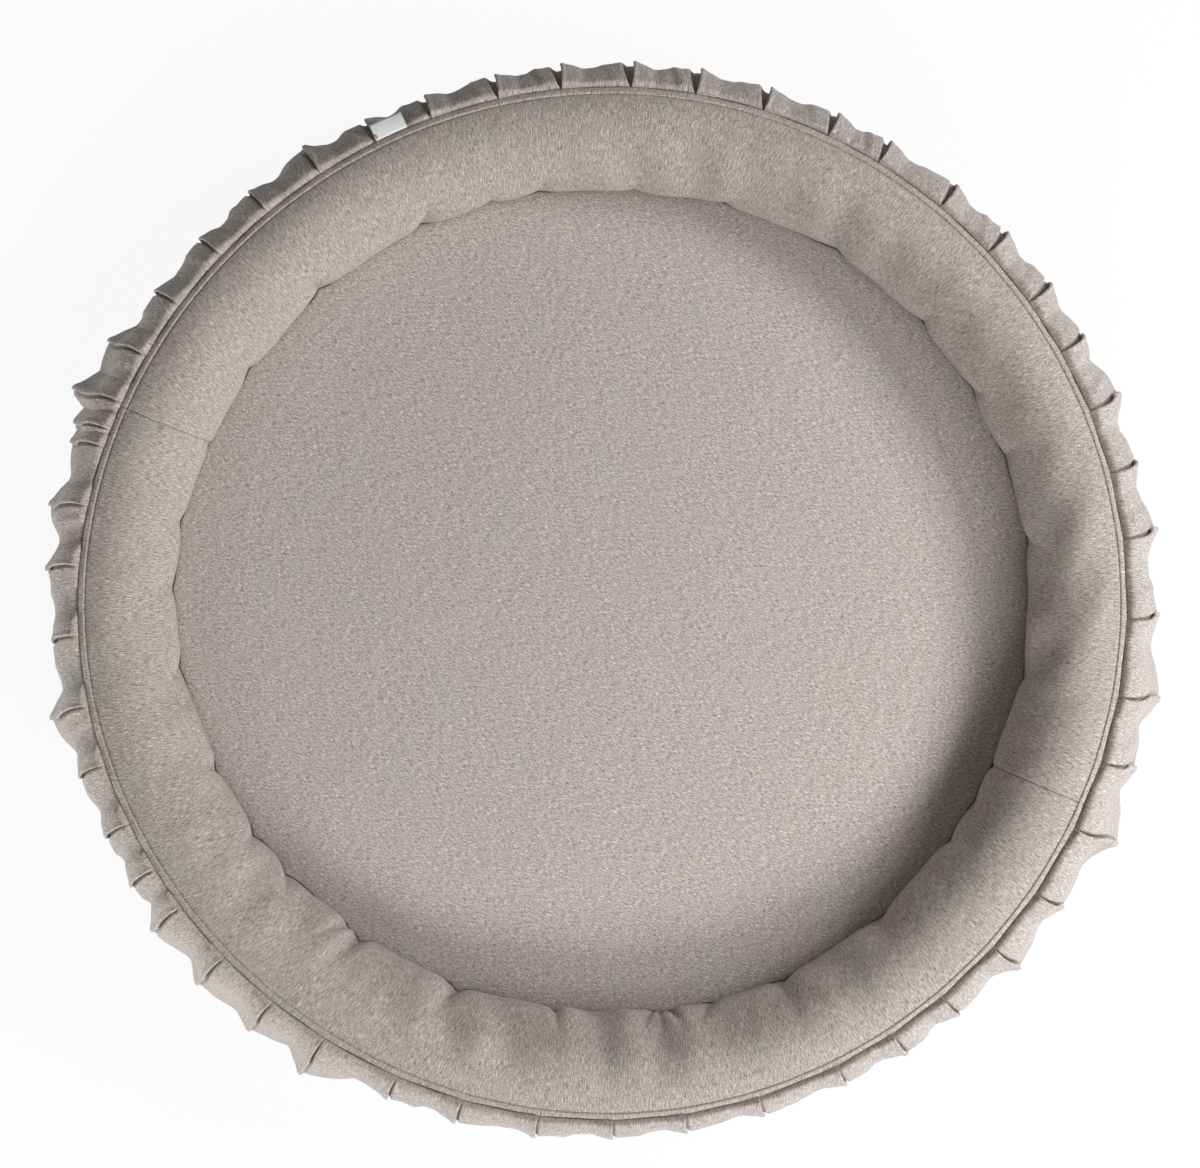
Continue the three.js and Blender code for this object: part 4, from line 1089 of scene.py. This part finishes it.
# Lamps: azimuth and height in degrees, distance, width and height in metres, and power in watts
LAMPS = {
    "window": (-72, 31, 2.6, 1.3, 0.6, 39),
    "side_window": (-28, 38, 2.6, 1.2, 0.7, 17),
    "far_window": (16, 32, 2.6, 1.2, 0.6, 44),
    # A low strip that lights the skirt on the left, and nothing over the top of the ring
    "reflector": (205, 2, 1.6, 2.4, 0.1, 14),
    "left_window": (200, 38, 2.6, 1.3, 0.9, 7.5),
}
for name, (azimuth, elevation, distance, width, height, power) in LAMPS.items():
    lamp_data = bpy.data.lights.new(name, "AREA")
    lamp_data.shape = "RECTANGLE"
    lamp_data.size, lamp_data.size_y, lamp_data.energy = width, height, power
    a, e = math.radians(azimuth), math.radians(elevation)
    lamp = link(name, lamp_data)
    lamp.visible_camera = False
    lamp.location = (distance * math.cos(e) * math.cos(a), distance * math.cos(e) * math.sin(a),
                     distance * math.sin(e))
    lamp.rotation_euler = (math.pi / 2 - e, 0, a + math.pi / 2)


def show(tree, white, plain, output, most=1.0):
    """White for rays that show the surroundings, and the plain shader for those that light the
    object."""
    light_path = tree.nodes.new("ShaderNodeLightPath")
    share = light_path.outputs["Is Camera Ray"]
    for kind in ("Is Glossy Ray", "Is Transmission Ray"):
        share = arithmetic(tree, "MAXIMUM", share, light_path.outputs[kind])
    share = arithmetic(tree, "MULTIPLY", share, most)
    made = tree.nodes.new("ShaderNodeMixShader")
    for source, target in zip((share, plain.outputs[0], white.outputs[0]), made.inputs):
        tree.links.new(source, target)
    tree.links.new(made.outputs[0], tree.nodes[output].inputs[0])


# The surroundings have a weak light of their own
world = bpy.data.worlds.new("world")
bpy.context.scene.world = world
world.use_nodes = True
tree = world.node_tree
light = set_inputs(tree.nodes["Background"], {"Color": (1, 0.99, 0.98, 1), "Strength": 0.11})
white = set_inputs(tree.nodes.new("ShaderNodeBackground"),
                   {"Color": (1, 1, 1, 1), "Strength": 0.96})
show(tree, white, light, "World Output")

# The ground is pale and mostly shows white, with some of its own shade
GROUND_HALF = 30.0
mesh = bpy.data.meshes.new("ground")
mesh.from_pydata([(x * GROUND_HALF, y * GROUND_HALF, 0)
                  for x, y in ((-1, -1), (1, -1), (1, 1), (-1, 1))], [], [(0, 1, 2, 3)])
ground = link("ground", mesh)
ground.location.z = -0.0005
look = bpy.data.materials.new("ground")
look.use_nodes = True
tree = look.node_tree
surface = set_inputs(tree.nodes["Principled BSDF"],
                     {"Base Color": (0.86, 0.86, 0.86, 1), "Roughness": 0.9})
white = set_inputs(tree.nodes.new("ShaderNodeEmission"), {"Strength": 1.0})
show(tree, white, surface, "Material Output", 0.92)
mesh.materials.append(look)

# Metal parts of the zip keep their solids, with softened edges

for name in ("zip_slider", "zip_pull", "zip_stop_start", "zip_stop_end"):
    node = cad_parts[name]
    node.data.materials.clear()
    node.data.materials.append(metal_look)
    rounding = node.modifiers.new("rounding", "BEVEL")
    rounding.width = 0.00025
    rounding.segments = 3
    rounding.limit_method = "ANGLE"
    rounding.angle_limit = math.radians(35)
    rounding.harden_normals = True


# What rides on which body, and which solids the pieces stand for

PIECES = (
    ("cover_fabric", (rim_lower, "rim_panel_lower"), (rim_upper, "rim_panel_upper"),
     (topstitch, None), (floor, "floor_panel")),
    ("foam", (mattress, "mattress_core")),
    ("filling", (filling, "bolster_core")),
    ("lining_fabric", (wall_lower, "outer_wall_lower"), (wall_upper, "outer_wall_upper"),
     (divider, "divider_band"), (base_front, "base_panel_front"), (base_back, "base_panel_back")),
    ("zip_tape", (tape_front, "zip_tape_front"), (tape_back, "zip_tape_back")),
    ("zip_chain", (coil_front, "zip_chain_front"), (coil_back, "zip_chain_back")),
    ("label_tape", (tag, "label")),
    ("cover_fabric", *((piece, f"skirt_strip_{n}") for n, piece in enumerate(skirt, 1))),
)
for slot, *dressed in PIECES:
    for piece, node in dressed:
        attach(piece, "root")
        if node:
            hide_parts(node)
